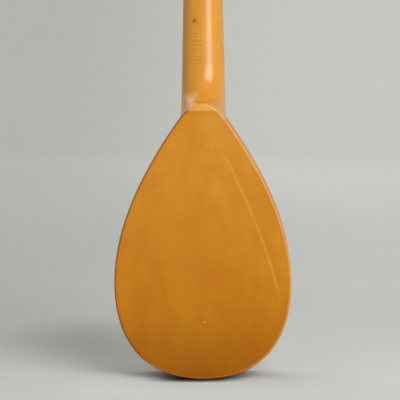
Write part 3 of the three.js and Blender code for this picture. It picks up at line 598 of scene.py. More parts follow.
def back_figure(tree, wood):
    """The marks, then the edge's painted shade, highlight and reflection, then the painted contact shade and
    the tip.
    """
    at, inset = object_coordinates(tree), kept_value(tree, "inset")
    x, z = part(at, "X"), part(at, "Z")
    wood = edge_figure(tree, back_marks(wood, at, x, z))
    # Painted shade on the edge that faces away from the key lamp.
    edge_shade = fading(inset, edge_shade_core, edge_shade_inset, edge_shade_share) * between(x, 0.0, beside_middle)
    wood = blend(edge_shade, wood, edge_shade_tint, "MULTIPLY")
    # Painted highlight on the edge towards the key lamp, and painted reflection of the floor round the tail.
    edge_highlight = fading(inset, edge_highlight_core, edge_highlight_inset, edge_highlight_share)
    at_tail = fading(z, highlight_tail_low, highlight_tail_high)
    edge_highlight *= fading(x, -beside_middle, beside_middle).maths("MAXIMUM", at_tail)
    wood = blend(edge_highlight, wood, edge_highlight_colour)
    # Painted contact shade where the tail stands on the floor.
    foot = fading(inset, contact_shade_core, contact_shade_inset, contact_shade_share) * fading(z, contact_shade_low, contact_shade_high)
    wood = blend(foot, wood, contact_shade_tint, "MULTIPLY")
    from_tip = float(body_length) - z
    wood = blend(fading(from_tip, tip_below - tip_edge, tip_below, tip_share), wood, tip_colour)
    from_line = abs(from_tip - (tip_below + tip_edge))
    return blend(fading(from_line, 0.0, 2 * tip_edge, tip_shade_share), wood, tip_shade, "MULTIPLY")


back_wood = lacquered_wood("amber_birch_back", object_coordinates, back_figure)
front_wood = lacquered_wood("amber_birch_front", object_coordinates, edge_figure)
print("plate woods:", back_wood.name, front_wood.name)

# %% [markdown]
# ## The neck's own figure
# The neck is of the same wood, a little paler, with a thicker lacquer. On its back, off the middle, is a
# small knot, and below it the grain curls in a few faint dark lines across the neck. A flat picture of them
# would stretch where the shaft turns away, so both are masks in the solid wood again.

# %% Neck wood
knot_place, knot_radius, halo_radius = (7.8 * mm, 340.4 * mm), 2.1 * mm, 5.46 * mm
knot_share, knot_colour, halo_share, halo_colour = 0.85, colour(118, 66, 18), 0.3, colour(176, 104, 34)
curl_x, curl_half, curl_wander, curl_pitch = 4 * mm, 7 * mm, 4 * mm, 3.4 * mm
curl_low, curl_high, curl_fade = 296 * mm, 342 * mm, 8 * mm
curl_share, curl_colour = 0.42, colour(150, 88, 28)
knot_core, curl_core = 0.25 * knot_radius, 0.4 * curl_half
wander_grain, patch_grain = (90, 30, 40), (150, 40, 150)
crest_range, patch_range = (0.3, 1.0), (0.42, 0.62)


def neck_figure(tree, wood):
    """A dark round knot with a halo, and waves of height, bent by noise, whose crests are drawn dark."""
    at = object_coordinates(tree)
    x, z = part(at, "X"), part(at, "Z")
    bent = z + curl_wander * swing(at, wander_grain, detail=1.0)
    wave = (bent * (2 * math.pi / curl_pitch)).maths("SINE")
    lines = between(wave, *crest_range, 0.0, curl_share) * within(z, curl_low, curl_high, curl_fade)
    lines *= between(noise(at, patch_grain, detail=1.0), *patch_range)
    lines *= fading(abs(x - curl_x), curl_core, curl_half)
    wood = blend(lines, wood, curl_colour)
    from_knot = distance_from(knot_place, x, z)
    wood = blend(fading(from_knot, knot_radius, halo_radius, halo_share), wood, halo_colour)
    return blend(fading(from_knot, knot_core, knot_radius, knot_share), wood, knot_colour)


neck_wood = lacquered_wood("amber_neck", object_coordinates, neck_figure, neck_amber, neck_lacquer)
print("neck wood:", neck_wood.name)

# %% [markdown]
# ## Other finishes
# Inside, the blocks, braces and linings are bare spruce, with its fine parallel growth lines. The fretboard
# and the bridge are rosewood: nearly black streaks in brown, with open pores. The tuners are nickelled, the
# nut and the saddle are bone, the tuner buttons cream plastic, and the strings clear nylon. Each could be
# one plain colour, but real ones vary a little in tone, gloss and relief. So one function makes the striped
# woods and another the even finishes, and each finish gives its own measures.

# %% Spruce and rosewood
spruce_tones = colour(206, 170, 120), colour(232, 204, 158)
rosewood_tones = colour(34, 18, 12), colour(84, 48, 32)
spruce_shine = {"IOR": 1.45, "Specular IOR Level": 0.3}
rosewood_shine = {"IOR": 1.5, "Specular IOR Level": 0.45}
pore_share, pore_relief = 0.6, 0.6
open_range, stripe_range, oil_range = (0.6, 0.72), (0.3, 0.7), (0.2, 0.8)


def striped_wood(name, lines, pores, tones, sockets, depth, rough):
    """Noise stretched along the grain picks a colour from dark to pale, and pores darken it."""
    material, shader, tree = new_material(name, sockets)
    at = object_coordinates(tree)
    stripes = noise(at, lines, detail=4.0, roughness=0.6, distortion=0.3)
    open_pores = between(noise(at, pores, detail=2.0), *open_range)
    wood = blend(between(stripes, *stripe_range), *tones)
    plug(shader, {
        "Base Color": blend(pore_share * open_pores, wood, tones[0], "MULTIPLY"),
        "Roughness": between(stripes, *oil_range, *rough),
        "Normal": relief(stripes - open_pores, depth, pore_relief),
    })
    return material


def upright_and_across(name, lines, pores, **rest):
    """A wood with its grain up the instrument, and the same wood with its grain across it."""
    across = striped_wood(name + "_across", lines[::-1], pores[::-1], **rest)
    return striped_wood(name, lines, pores, **rest), across


spruce, spruce_across = upright_and_across(
    "bare_spruce", lines=(420, 420, 6), pores=(900, 900, 40), tones=spruce_tones,
    sockets=spruce_shine, depth=0.05 * mm, rough=(0.62, 0.75),
)
rosewood, rosewood_across = upright_and_across(
    "rosewood", lines=(480, 480, 14), pores=(1600, 1600, 110), tones=rosewood_tones,
    sockets=rosewood_shine, depth=0.06 * mm, rough=(0.38, 0.52),
)
print("bare and oiled woods:", spruce.name, rosewood.name)

# %% Metal, bone, plastic and nylon
relief_strength = 0.5
cloud_range, shine_range = (0.3, 0.7), (0.25, 0.75)


def even_finish(name, dark, pale, grain, rough, depth, sockets):
    """A finish that varies softly between two colours and two roughnesses, with a slight relief."""
    material, shader, tree = new_material(name, sockets)
    clouds = noise(object_coordinates(tree), grain)
    plug(shader, {
        "Base Color": blend(between(clouds, *cloud_range), colour(*dark), colour(*pale)),
        "Roughness": between(clouds, *shine_range, *rough),
        "Normal": relief(clouds, depth, relief_strength),
    })
    return material


nickel = even_finish(
    "nickel", dark=(186, 184, 178), pale=(208, 206, 200), grain=(500, 500, 500),
    rough=(0.2, 0.3), depth=0.01 * mm, sockets={"Metallic": 1.0},
)
bone = even_finish(
    "bone", dark=(228, 216, 188), pale=(240, 232, 210), grain=(260, 900, 900),
    rough=(0.36, 0.46), depth=0.02 * mm, sockets={"Subsurface Weight": 0.1, "Subsurface Scale": 1 * mm},
)
cream_plastic = even_finish(
    "cream_plastic", dark=(228, 214, 182), pale=(240, 229, 203), grain=(120, 120, 120),
    rough=(0.22, 0.32), depth=0.01 * mm,
    sockets={"Subsurface Weight": 0.15, "Subsurface Scale": 2 * mm, "Coat Weight": 0.3},
)
nylon = even_finish(
    "clear_nylon", dark=(226, 222, 210), pale=(238, 235, 226), grain=(300, 300, 300),
    rough=(0.12, 0.2), depth=0.005 * mm, sockets={"Transmission Weight": 0.55, "IOR": 1.53},
)
pearl = even_finish(
    "pearl", dark=(206, 214, 212), pale=(244, 238, 228), grain=(900, 400, 900),
    rough=(0.15, 0.3), depth=0.005 * mm, sockets={"Coat Weight": 0.6},
)
purfling = {"grain": (700, 700, 700), "rough": (0.3, 0.4), "depth": 0.01 * mm, "sockets": {}}
dark_line = even_finish("dark_purfling", dark=(24, 20, 18), pale=(40, 32, 27), **purfling)
pale_line = even_finish("pale_purfling", dark=(212, 176, 120), pale=(230, 200, 150), **purfling)
print("materials made:", len(bpy.data.materials))

# %% [markdown]
# ## The body's outline
# On the real body this is the line that the ribs are bent to. It is drawn as three curves on one side:
# round the tail to the widest place, up the flank to the shoulder, and over the tip. Its other half is the
# mirror image. It could be traced point by point, but three curves stay smooth, and their ends are shares
# of the body's length and width, so they follow a change of size. The normals say which way is out, so that
# an edge can be rounded by drawing the outline in.

# %% Outline
widest_share, tail_flat_share, lower_side_share = 0.347, 0.684, 0.579
upper_side_share, shoulder_width_share, shoulder_height_share = 0.326, 0.295, 0.9285
flank_share, tip_rise_share, tip_flat_share = 0.314, 0.4, 0.427
shoulder_lean = math.radians(34.8)
rim_count, curve_points = 240, 400

widest_z = widest_share * body_length
above_widest = body_length - widest_z
shoulder = np.array([shoulder_width_share * half_width, shoulder_height_share * body_length])
shoulder_way = np.array([-math.sin(shoulder_lean), math.cos(shoulder_lean)])
side_curves = [
    [
        (0, 0),
        (tail_flat_share * half_width, 0),
        (half_width, (1 - lower_side_share) * widest_z),
        (half_width, widest_z),
    ],
    [
        (half_width, widest_z),
        (half_width, widest_z + upper_side_share * above_widest),
        shoulder - flank_share * above_widest * shoulder_way,
        shoulder,
    ],
    [
        shoulder,
        shoulder + tip_rise_share * (body_length - shoulder[1]) * shoulder_way,
        (tip_flat_share * shoulder[0], body_length),
        (0, body_length),
    ],
]
rim = evenly(np.vstack([bezier(ends, curve_points) for ends in side_curves]), rim_count)
slopes = np.gradient(rim, axis=0)
slopes[0], slopes[-1] = (1, 0), (-1, 0)
slopes /= np.linalg.norm(slopes, axis=1)[:, None]
rim_out = np.column_stack([slopes[:, 1], -slopes[:, 0]])
rim_along = length_along(rim)


def rim_at(lengths):
    """Place and outward normal at some lengths along the outline from the tail."""
    place = np.stack([np.interp(lengths, rim_along, rim[:, k]) for k in range(2)], axis=-1)
    out = np.stack([np.interp(lengths, rim_along, rim_out[:, k]) for k in range(2)], axis=-1)
    return place, out


def mirrored(half):
    """A closed ring from its right half, whose two ends lie on the middle line."""
    return np.vstack([half, (half * (-1, 1))[-2:0:-1]])


def at_depth(ring, y):
    """A ring of (x, z) points set at a depth."""
    return np.column_stack([ring[:, 0], np.full(len(ring), y), ring[:, 1]])


print("outline length of one side in mm:", round(rim_along[-1] / mm))

# %% [markdown]
# ## Back plate
# The back is a thin flat plate, glued on the ribs, with a rounded edge that the hand wears. An extruded
# outline with a bevel could make it. Here it is a stack of rings: the face shrinks to its middle, the edge
# is rounded by drawing the outline in along its normals, and the inner face shrinks to the middle again.
# Each ring then knows how far in it lies, and the masks of wear read that from the mesh.

# %% Back plate
edge_round = 1.5 * mm
round_steps = 7
face_insets = np.array([9, 6, 3.5, 2.2]) * mm
shrink_shares = np.array([0, 0.12, 0.3, 0.5, 0.7, 0.86])
middle_share = 0.42


def rim_ring(inset, y):
    """The whole outline, drawn in by an inset, at a depth."""
    return at_depth(mirrored(rim - inset * rim_out), y)


def shrunk(ring, shares):
    """Copies of a ring scaled towards a point on the middle line."""
    middle = np.array([0, ring[0, 1], middle_share * body_length])
    return [middle + share * (ring - middle) for share in shares]


edge = quarter_round(edge_round, round_steps)
rows = shrunk(rim_ring(face_insets[0], back_y), shrink_shares)
rows += [rim_ring(inset, back_y) for inset in face_insets]
rows += [rim_ring(inset, back_y - depth) for inset, depth in edge]
rows += [rim_ring(0, back_inside_y), rim_ring(face_insets[0], back_inside_y)]
rows += shrunk(rim_ring(face_insets[0], back_inside_y), shrink_shares[::-1])
insets = [half_width] * len(shrink_shares) + [*face_insets] + [*edge[:, 0]]
insets += [0] * (len(rows) - len(insets))
back = solid("back_plate_wood", [shell(np.array(rows), inset=np.array(insets)[:, None])])
fitted(back, back_wood, "amber_birch", stands_for=["back_plate"])
print("back plate faces:", len(back.data.polygons))

# %% [markdown]
# ## Soundboard
# The soundboard is the plate that the strings drive, with a round hole in it. A boolean could cut the hole,
# but would leave thin faces round it. So the rings run from the sound hole to the outline, and turn from a
# circle into the body's line on the way. They follow the outline up to the neck joint. There it is cut
# straight, so the points on that cut stay on it when the outline is drawn in.

# %% Soundboard
hole_radius = 25 * mm
hole_round, hole_round_steps = 0.5 * mm, 4
face_shares, inside_shares = (0.1, 0.3, 0.55, 0.8), (0.3, 0.7)
hole_below_joint = 83 * mm
hole_z = joint_z - hole_below_joint
cut_points = 9
below_joint = rim[:, 1] < joint_z
joint_length = np.interp(joint_z, rim[:, 1], rim_along)
joint_place, joint_out = rim_at(joint_length)
across_cut = np.linspace(1, 0, cut_points)
cut_line = np.column_stack([across_cut * joint_place[0], np.full(cut_points, joint_z)])
cut_rim = np.vstack([rim[below_joint], cut_line])
cut_out = np.vstack([rim_out[below_joint], np.outer(across_cut, (1 / joint_out[0], 0))])


def cut_ring(inset, y):
    """The outline up to the neck joint, drawn in by an inset, at a depth."""
    return at_depth(mirrored(cut_rim - inset * cut_out), y)


hole_ways = mirrored(cut_rim) - (0, hole_z)
hole_ways /= np.linalg.norm(hole_ways, axis=1)[:, None]


def hole_ring(radius, y):
    """A circle round the sound hole's middle, with a point towards each point of the outline."""
    return at_depth((0, hole_z) + radius * hole_ways, y)


def rings_between(a, b, shares):
    """Rings that lie between two rings."""
    return [mix(a, b, share) for share in shares]


hole_edge = quarter_round(hole_round, hole_round_steps)[::-1]
rows = [hole_ring(hole_radius, board_inside_y)]
rows += [hole_ring(hole_radius + inset, face_y + depth) for inset, depth in hole_edge]
rows += rings_between(rows[-1], cut_ring(face_insets[0], face_y), face_shares)
insets = [half_width] * len(rows) + [*face_insets] + [*edge[:, 0]]
rows += [cut_ring(inset, face_y) for inset in face_insets]
rows += [cut_ring(inset, face_y + depth) for inset, depth in edge]
rows += [cut_ring(0, board_inside_y)]
rows += rings_between(rows[-1], rows[0], inside_shares)
insets += [0] * (len(rows) - len(insets))
board_shell = shell(np.array(rows), loop_rows=True, inset=np.array(insets)[:, None])
soundboard = solid("soundboard_wood", [board_shell])
fitted(soundboard, front_wood, "amber_birch", stands_for=["soundboard"])
print("sound hole at z in mm:", round(hole_z / mm, 1))

# %% [markdown]
# ## Ribs and linings
# A rib is a thin strip of wood bent round the body, so its surface is a section carried along the outline.
# A lining is a strip too, glued inside the rib to give a plate more to hold on to, and sawn nearly through
# every few millimetres so that it bends: its inner side jumps in and out. Thickening the outline with
# Solidify could make a rib, but a carried section also knows how far along the strip it is, and the grain
# follows that.

# %% Ribs
rib_thickness = 2 * mm
rib_rows = 180


def strip(name, side, lengths, insets, depths):
    """A section carried along the outline: at each length its corners have an inset and a depth."""
    place, out = rim_at(lengths)
    insets, depths, _ = np.broadcast_arrays(insets, depths, np.zeros((len(lengths), 1)))
    corner = place[:, None] - insets[..., None] * out[:, None]
    section = np.stack([side * corner[..., 0], depths, corner[..., 1]], axis=-1)
    grid = capped(section, section[0].mean(axis=0), section[-1].mean(axis=0))
    along = np.concatenate([lengths[:1], lengths, lengths[-1:]])[:, None]
    across = np.vstack([depths[:1], depths, depths[-1:]])
    return solid(name, [shell(grid, along=side * along, across=across)])


rib_insets = np.array([[0, 0, rib_thickness, rib_thickness]])
rib_depths = np.array([[board_inside_y, back_inside_y, back_inside_y, board_inside_y]])
rib_lengths = np.linspace(0, joint_length, rib_rows)
for side, name in ((-1, "bass"), (1, "treble")):
    rib = strip(f"rib_{name}_wood", side, rib_lengths, rib_insets, rib_depths)
    fitted(rib, rib_wood, "amber_birch", stands_for=[f"rib_{name}"])
print("rib length in mm:", round(joint_length / mm))

# %% Linings
lining_inset = 2.1 * mm
lining_width, lining_depth, lining_edge = 5 * mm, 9 * mm, 3 * mm
kerf_pitch, kerf_width, kerf_web = 7 * mm, 1.2 * mm, 1.3 * mm
web_depth = mix(lining_depth, lining_edge, kerf_web / lining_width)
beside_tail = rim[:, 1] < widest_z / 2


def kerfed_lining(plate, name, side, plate_y, inwards):
    """At each saw cut the inner corners of the section jump back to a thin web beside the rib."""
    node = f"{plate}_lining_{name}"
    low, high = corners(f"{plate}_lining_treble")
    outer, inner = rim - lining_inset * rim_out, rim - (lining_inset + lining_width) * rim_out
    start = np.interp(low[0], inner[beside_tail, 0], rim_along[beside_tail])
    end = np.interp(high[2], outer[:, 1], rim_along)
    cuts = np.arange(start + kerf_pitch / 2, end - kerf_pitch / 2, kerf_pitch)[:, None]
    lengths = np.concatenate([[start], (cuts + (0, 0, kerf_width, kerf_width)).ravel(), [end]])
    sawn = np.concatenate([[0], np.tile([0, 1, 1, 0], len(cuts)), [0]])
    width, depth = mix(lining_width, kerf_web, sawn), mix(lining_edge, web_depth, sawn)
    none = np.zeros(len(lengths))
    insets = lining_inset + np.column_stack([none, none, width, width])
    depths = plate_y + inwards * np.column_stack([none, none + lining_depth, depth, none])
    made = strip(node + "_wood", side, lengths, insets, depths)
    return fitted(made, spruce, "pale_spruce", stands_for=[node])


linings = [
    kerfed_lining(plate, name, side, y, inwards)
    for plate, y, inwards in (("soundboard", board_inside_y, 1), ("back", back_inside_y, -1))
    for side, name in ((-1, "bass"), (1, "treble"))
]
print("linings:", [lining.name for lining in linings])

# %% [markdown]
# ## Planed and sawn pieces
# The blocks hold the ends of the ribs, the braces stiffen the plates, and the patch backs the bridge. Like
# the nut, the bridge and the saddle they have flat faces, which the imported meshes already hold, so nothing
# is worked out again. Each gets a merged copy, whose triangles are joined to flat faces, and whose edges
# are rounded by a bevel, as sandpaper leaves them.

# %% Softened copies
merge_distance = 10 * weld_distance
flat_within, bevel_from, bevel_segments = math.radians(1), math.radians(28), 3
fine_edge, bridge_edge, brace_edge = 0.3 * mm, 0.4 * mm, 0.6 * mm


def softened(node, material, slot, width):
    """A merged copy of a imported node, with its flat faces whole and its edges rounded."""
    mesh = frame["nodes"][node].data.copy()
    work = bmesh.new()
    work.from_mesh(mesh)
    bmesh.ops.remove_doubles(work, verts=work.verts, dist=merge_distance)
    bmesh.ops.dissolve_limit(work, angle_limit=flat_within, verts=work.verts, edges=work.edges)
    work.to_mesh(mesh)
    work.free()
    made = bpy.data.objects.new(node + "_finished", mesh)
    bpy.context.scene.collection.objects.link(made)
    mesh.polygons.foreach_set("use_smooth", np.ones(len(mesh.polygons), bool))
    bevel = made.modifiers.new("rounded_edges", "BEVEL")
    bevel.width, bevel.segments, bevel.limit_method = width, bevel_segments, "ANGLE"
    bevel.angle_limit = bevel_from
    bevel.harden_normals = True
    return fitted(made, material, slot, stands_for=[node])


for node in ("neck_block", "tail_block"):
    softened(node, spruce, "pale_spruce", fine_edge)
for node in ("upper_soundboard_brace", "lower_soundboard_brace", "upper_back_brace", "lower_back_brace"):
    softened(node, spruce_across, "pale_spruce", brace_edge)
softened("bridge_patch", spruce_across, "pale_spruce", fine_edge)
softened("bridge", rosewood_across, "rosewood", bridge_edge)
for node in ("saddle", "nut"):
    softened(node, bone, "bone", fine_edge)

# %% [markdown]
# ## Neck and headstock
# The neck is one piece of wood. Rows across it run from the joint, behind the back plate's tip, down the
# heel's hollow sweep, along the half round shaft, and over the headstock, which leans back. Each row has
# the same columns: the face, a rounded edge, the side and the back. In the shaft they follow half an
# ellipse, and in the headstock a rectangle with rounded corners. Separate solids could be joined, but with
# one formula for every row the heel flows into the shaft, and the shaft into the headstock, as carved wood
# does.

# %% Neck measures
heel_sweep, heel_ease, ease_samples = 40 * mm, 4 * mm, 15
depth_at_nut, depth_at_heel = 14.5 * mm, 16.5 * mm
half_board_at_nut, half_board_at_joint = 17.5 * mm, 21.55 * mm

hinge = next(joint for joint in frame["joints"] if joint["child"] == "peg_g")
head_out = np.array(hinge["axis"])
head_along = np.cross(head_out, (1, 0, 0))
head_tilt = math.asin(head_along[1])
head_length = (neck_high[2] - pivot_z) / math.cos(head_tilt)
neck_depth_at_body = back_inside_y - face_y
heel_end = body_length + heel_sweep


def half_board(z):
    """Half the fretboard's width at a height: a straight taper."""
    return mix(half_board_at_nut, half_board_at_joint, (nut_z - z) / (nut_z - joint_z))


def shaft_depth(z):
    """Depth of the neck behind the fretboard: a straight taper."""
    return mix(depth_at_nut, depth_at_heel, (nut_z - z) / (nut_z - heel_end))


def heel_depth(z):
    """Full depth behind the plate, and above it a quarter of an ellipse down to the shaft's depth."""
    share = np.clip((heel_end - z) / heel_sweep, 0, 1)
    return mix(neck_depth_at_body, shaft_depth(z), np.sqrt(1 - share**2))


def side_depth(z):
    """The heel's depth averaged over a few millimetres up and down, so that its sides have no crease."""
    offsets = np.linspace(-heel_ease, heel_ease, ease_samples)
    return np.mean([heel_depth(z + offset) for offset in offsets], axis=0)


print("headstock length in mm:", round(head_length / mm), "tilt:", round(math.degrees(head_tilt), 1))

# %% Neck rows
spine_half_flat = 0.4 * mm
head_thickness = 12 * mm
head_flare_length, half_head_at_flare, half_head_at_top = 20 * mm, 25 * mm, 28 * mm
head_crown_rise = 9 * mm
lean_starts_below_pivot = 26 * mm
heel_count, shaft_count, lean_count = 40, 24, 16
flare_count, side_count, crown_count = 18, 20, 30


def body_rows():
    """Rows behind the back plate's tip, and up the heel's sweep."""
    behind = np.vstack([joint_place, rim[rim[:, 1] > joint_z]])
    half_back = np.maximum(behind[:, 0], spine_half_flat)
    heel_z = heel_end - heel_sweep * np.cos(np.linspace(0, math.pi / 2, heel_count)[1:])
    z = np.concatenate([behind[:, 1], heel_z])
    half_back = np.concatenate([half_back, np.full(len(heel_z), spine_half_flat)])
    return [(z, 0, 0, half_board(z), half_back, heel_depth(z), side_depth(z), 0)]


def shaft_rows():
    """Rows up the shaft, which begin to lean back below the nut."""
    start = pivot_z - lean_starts_below_pivot
    z = np.concatenate([
        np.linspace(heel_end, start, shaft_count)[1:],
        np.linspace(start, pivot_z, lean_count)[1:],
    ])
    lean = head_tilt * smooth((z - start) / lean_starts_below_pivot)
    return [(z, 0, lean, half_board(z), spine_half_flat, shaft_depth(z), side_depth(z), 0)]


def head_rows():
    """Rows up the headstock: it flares, widens a little, and ends in a crown, which is half an ellipse."""
    side_top = head_length - head_crown_rise
    length = np.concatenate([
        np.linspace(0, head_flare_length, flare_count)[1:],
        np.linspace(head_flare_length, side_top, side_count)[1:],
    ])
    square = smooth(length / head_flare_length)
    flare = mix(half_board(pivot_z), half_head_at_flare, square)
    spread = np.clip((length - head_flare_length) / (side_top - head_flare_length), 0, 1)
    half = flare + spread * (half_head_at_top - half_head_at_flare)
    angle = np.linspace(0, math.pi / 2, crown_count)[1:]
    crown_length, crown_half = side_top + head_crown_rise * np.sin(angle), half_head_at_top * np.cos(angle)
    depth = mix(depth_at_nut, head_thickness, square)
    return [
        (pivot_z, length, head_tilt, half, spine_half_flat, depth, depth, square),
        (pivot_z, crown_length, head_tilt, crown_half, spine_half_flat, head_thickness, head_thickness, 1),
    ]


groups = body_rows() + shaft_rows() + head_rows()
neck_rows = np.hstack([np.array(np.broadcast_arrays(*group)) for group in groups])[:, :, None]
print("rows along the neck:", neck_rows.shape[1])

# %% Neck columns
face_columns, edge_columns, side_columns, back_columns = 5, 5, 7, 9
face_share = np.linspace(0, 1, face_columns)
turn = np.linspace(0, math.pi / 2, edge_columns)[1:]
down = np.linspace(0, 1, side_columns)[1:]
home = np.linspace(1, 0, back_columns)[1:]


def columns(face, front_edge, side, back_edge, back):
    """One value for each column, from the middle of the face round to the middle of the back."""
    groups = ((face, face_share), (front_edge, turn), (side, down), (back_edge, turn), (back, home))
    return np.concatenate([np.broadcast_to(value, at.shape) for value, at in groups])


width_share = columns(face_share, 1, 1, 1, home)
inset_share = columns(1, 1 - np.sin(turn), 0, 1 - np.cos(turn), 1)
round_share = columns(0, 1 - np.cos(turn), 1, 1 + np.sin(turn), 2)
depth_share = columns(0, 0, down, 1, 1)
front_share = columns(face_share, 1, 1, 1, 1)
behind_edge = columns(0, 0, 1, 1, 1)
ellipse_angle = np.cumsum(behind_edge) / behind_edge.sum() * math.pi / 2
print("columns round half the neck:", len(width_share))

# %% Neck surface
head_round = 1 * mm
ease_power = 6


def neck_surface(z, length, lean, half_front, half_back, depth, eased_depth, square):
    """Half an ellipse, x = hypot(f cos t, b sin t) and y = d sin t, mixed with a rounded rectangle."""
    plan = np.hstack([half_front, length + z])
    slope = np.gradient(plan, axis=0)
    normal = slope[:, ::-1] * (1, -1) / np.linalg.norm(slope, axis=1)[:, None]
    radius = head_round * smooth(length / head_flare_length)
    inset = radius * inset_share
    x_square = width_share * np.maximum(half_front - inset * normal[:, :1], 0)
    y_square = radius * round_share + (depth - 2 * radius) * depth_share
    x_round = front_share * np.hypot(half_front * np.cos(ellipse_angle), half_back * np.sin(ellipse_angle))
    y_round = mix(eased_depth, depth, np.sin(ellipse_angle) ** ease_power) * np.sin(ellipse_angle)
    x, y = mix(x_round, x_square, square), mix(y_round, y_square, square)
    local = length - inset * normal[:, 1:]
    right = np.stack([
        x,
        face_y + y * np.cos(lean) + local * np.sin(lean),
        z - y * np.sin(lean) + local * np.cos(lean),
    ], axis=-1)
    grid = np.concatenate([right, right[:, -1:0:-1] * (-1, 1, 1)], axis=1)
    foot = np.broadcast_to((0, face_y + neck_depth_at_body / 2, joint_z), (1, grid.shape[1], 3))
    return np.concatenate([foot, grid])


neck = solid("neck_wood", [shell(neck_surface(*neck_rows))])
print("neck faces before the holes:", len(neck.data.polygons))

# %% Tenon and peg holes
tenon_half, tenon_length, tenon_wall = 7 * mm, 18 * mm, 7 * mm
peg_hole_radius = 4.2 * mm
overrun = 1 * mm


def block(name, low, high):
    """A box between two corners: two square rows between two poles."""
    low, high = np.array(low), np.array(high)
    ring = np.array([(0, 0, 0), (1, 0, 0), (1, 1, 0), (0, 1, 0)], float)
    grid = capped(np.stack([ring, ring + (0, 0, 1)]), (0.5, 0.5, 0), (0.5, 0.5, 1))
    return solid(name, [shell(low + grid * (high - low))])


peg_base = {joint["child"]: np.array(joint["pos_m"]) for joint in frame["joints"]}
tenon_low = (-tenon_half, board_inside_y + tenon_wall, joint_z - tenon_length)
tenon_high = (tenon_half, back_inside_y - tenon_wall, joint_z + overrun)
carved(neck, [block("tenon", tenon_low, tenon_high)], "UNION")
behind_head = -head_thickness - overrun
drill = [(0, behind_head), (peg_hole_radius, behind_head), (peg_hole_radius, overrun), (0, overrun)]
carved(neck, [solid("drill", [lathe(base, head_out, drill)]) for base in peg_base.values()], "DIFFERENCE")
neck.data.set_sharp_from_angle(angle=math.radians(crease_angle))
fitted(neck, neck_wood, "amber_neck", stands_for=["neck"])
print("neck faces:", len(neck.data.polygons))

# %% [markdown]
# ## Fretboard, frets and dots
# The fretboard is a section carried up the neck: its top drops to the floor of a saw slot at each fret. A
# boolean could cut the slots, but four rows a slot do the same and leave clean faces. A fret is a rounded
# crown with a tang in the slot, and its ends are filed down to the board's edges. Each fret lies at the
# scale length times two to the power of minus its number over twelve.

# %% Fretboard
fret_count, frets_in_octave = 12, 12
slot_half, slot_depth = 0.35 * mm, 1.7 * mm
board_edge_round, board_edge_steps = 0.5 * mm, 5
board_top, board_foot = fretboard_low[1:]


def fret_z(fret):
    """Height of a fret."""
    return saddle_z + scale_length * 2 ** (-np.asarray(fret) / frets_in_octave)


def fretboard_surface():
    """Rows up the neck, each a rectangle with its two front edges rounded, lowered in the slots."""
    slots = fret_z(np.arange(fret_count, 0, -1))[:, None] + slot_half * np.array([-1, -1, 1, 1])
    lowered = np.tile([0, slot_depth, slot_depth, 0], fret_count)
    edge = quarter_round(board_edge_round, board_edge_steps)[::-1]
    z = np.concatenate([board_foot + edge[:, 0], slots.ravel(), [nut_z]])
    drop = np.concatenate([edge[:, 1], lowered, [0]])
    inset = np.concatenate([[0, 0], edge[:, 0]])
    sunk = np.concatenate([[face_y - board_top] * 2, edge[:, 1]])
    half = half_board(z)[:, None] - inset
    y = board_top + np.maximum(sunk, drop[:, None])
    right = np.stack([half, y, np.broadcast_to(z[:, None], half.shape)], axis=-1)
    right[:, 0, 0] = 0
    grid = np.concatenate([right, right[:, :0:-1] * (-1, 1, 1)], axis=1)
    middle_y = (board_top + face_y) / 2
    return capped(grid, (0, middle_y, z[0]), (0, middle_y, z[-1]))


fretboard = solid("fretboard_wood", [shell(fretboard_surface())])
fitted(fretboard, rosewood, "rosewood", stands_for=["fretboard"])
print("octave fret at z in mm:", round(float(fret_z(12)) / mm, 1))

# %% Frets and dots
crown_half, crown_height = 1 * mm, 1 * mm
tang_half, tang_depth = 0.25 * mm, 1.6 * mm
end_slope, end_drop = 1.1 * mm, 0.97
end_steps, crown_steps = 6, 13
pole_lift = weld_distance * 100
dot_frets, dot_radius, dot_proud, dot_depth, dot_round = (5, 7, 10), 3 * mm, 0.03 * mm, 0.6 * mm, 0.1 * mm


def fret_surface(z):
    """A half round crown on a thin tang, across the board. Its ends sink by a quarter of a circle."""
    share = np.linspace(0, 1, end_steps)
    x = half_board(z) - end_slope * share
    x = np.concatenate([-x, x[::-1]])
    height = crown_height * np.sqrt(1 - end_drop * (1 - share) ** 2)
    height = np.concatenate([height, height[::-1]])[:, None]
    arc = np.linspace(0, math.pi, crown_steps)
    up = np.concatenate([np.sin(arc), np.zeros(4)]) * height
    down = np.concatenate([np.zeros(crown_steps + 1), [tang_depth, tang_depth, 0]])
    across = np.concatenate([crown_half * np.cos(arc), tang_half * np.array([-1, -1, 1, 1])])
    grid = np.stack(np.broadcast_arrays(x[:, None], board_top - up + down, z + across), axis=-1)
    pole_y = board_top - pole_lift
    return capped(grid, (x[0], pole_y, z), (x[-1], pole_y, z))


for fret in range(1, fret_count + 1):
    wire = solid(f"fret_wire_{fret:02d}", [shell(fret_surface(float(fret_z(fret))))])
    fitted(wire, nickel, "nickel", stands_for=[f"fret_{fret:02d}"])

front = np.array([0, -1.0, 0])
dot_profile = [(0, -dot_depth), (dot_radius, -dot_depth), (dot_radius, dot_proud), (0, dot_proud)]
dots = []
for fret in dot_frets:
    dot_middle = np.array([0, board_top, (fret_z(fret) + fret_z(fret - 1)) / 2])
    dots.append(lathe(dot_middle, front, rounded(dot_profile, dot_round)))
fitted(solid("position_dots", dots), pearl, "bone")
print("frets:", fret_count, "dots:", len(dots))

# %% [markdown]
# ## Rosette
# Round the sound hole lie three rings of inlaid wood, dark, pale and dark. A mask in the soundboard's
# material could draw them, but separate rings have their own wood and gloss, and a sharp joint between
# them. Each is a thin flat ring, let into the soundboard and scraped level with it.

# %% Rosette
rosette_radii = np.array([29.0, 29.8, 32.0, 32.8]) * mm
inlay_depth, inlay_proud, ring_sides = 0.6 * mm, 0.02 * mm, 128
hole_centre = np.array([0, face_y, hole_z])


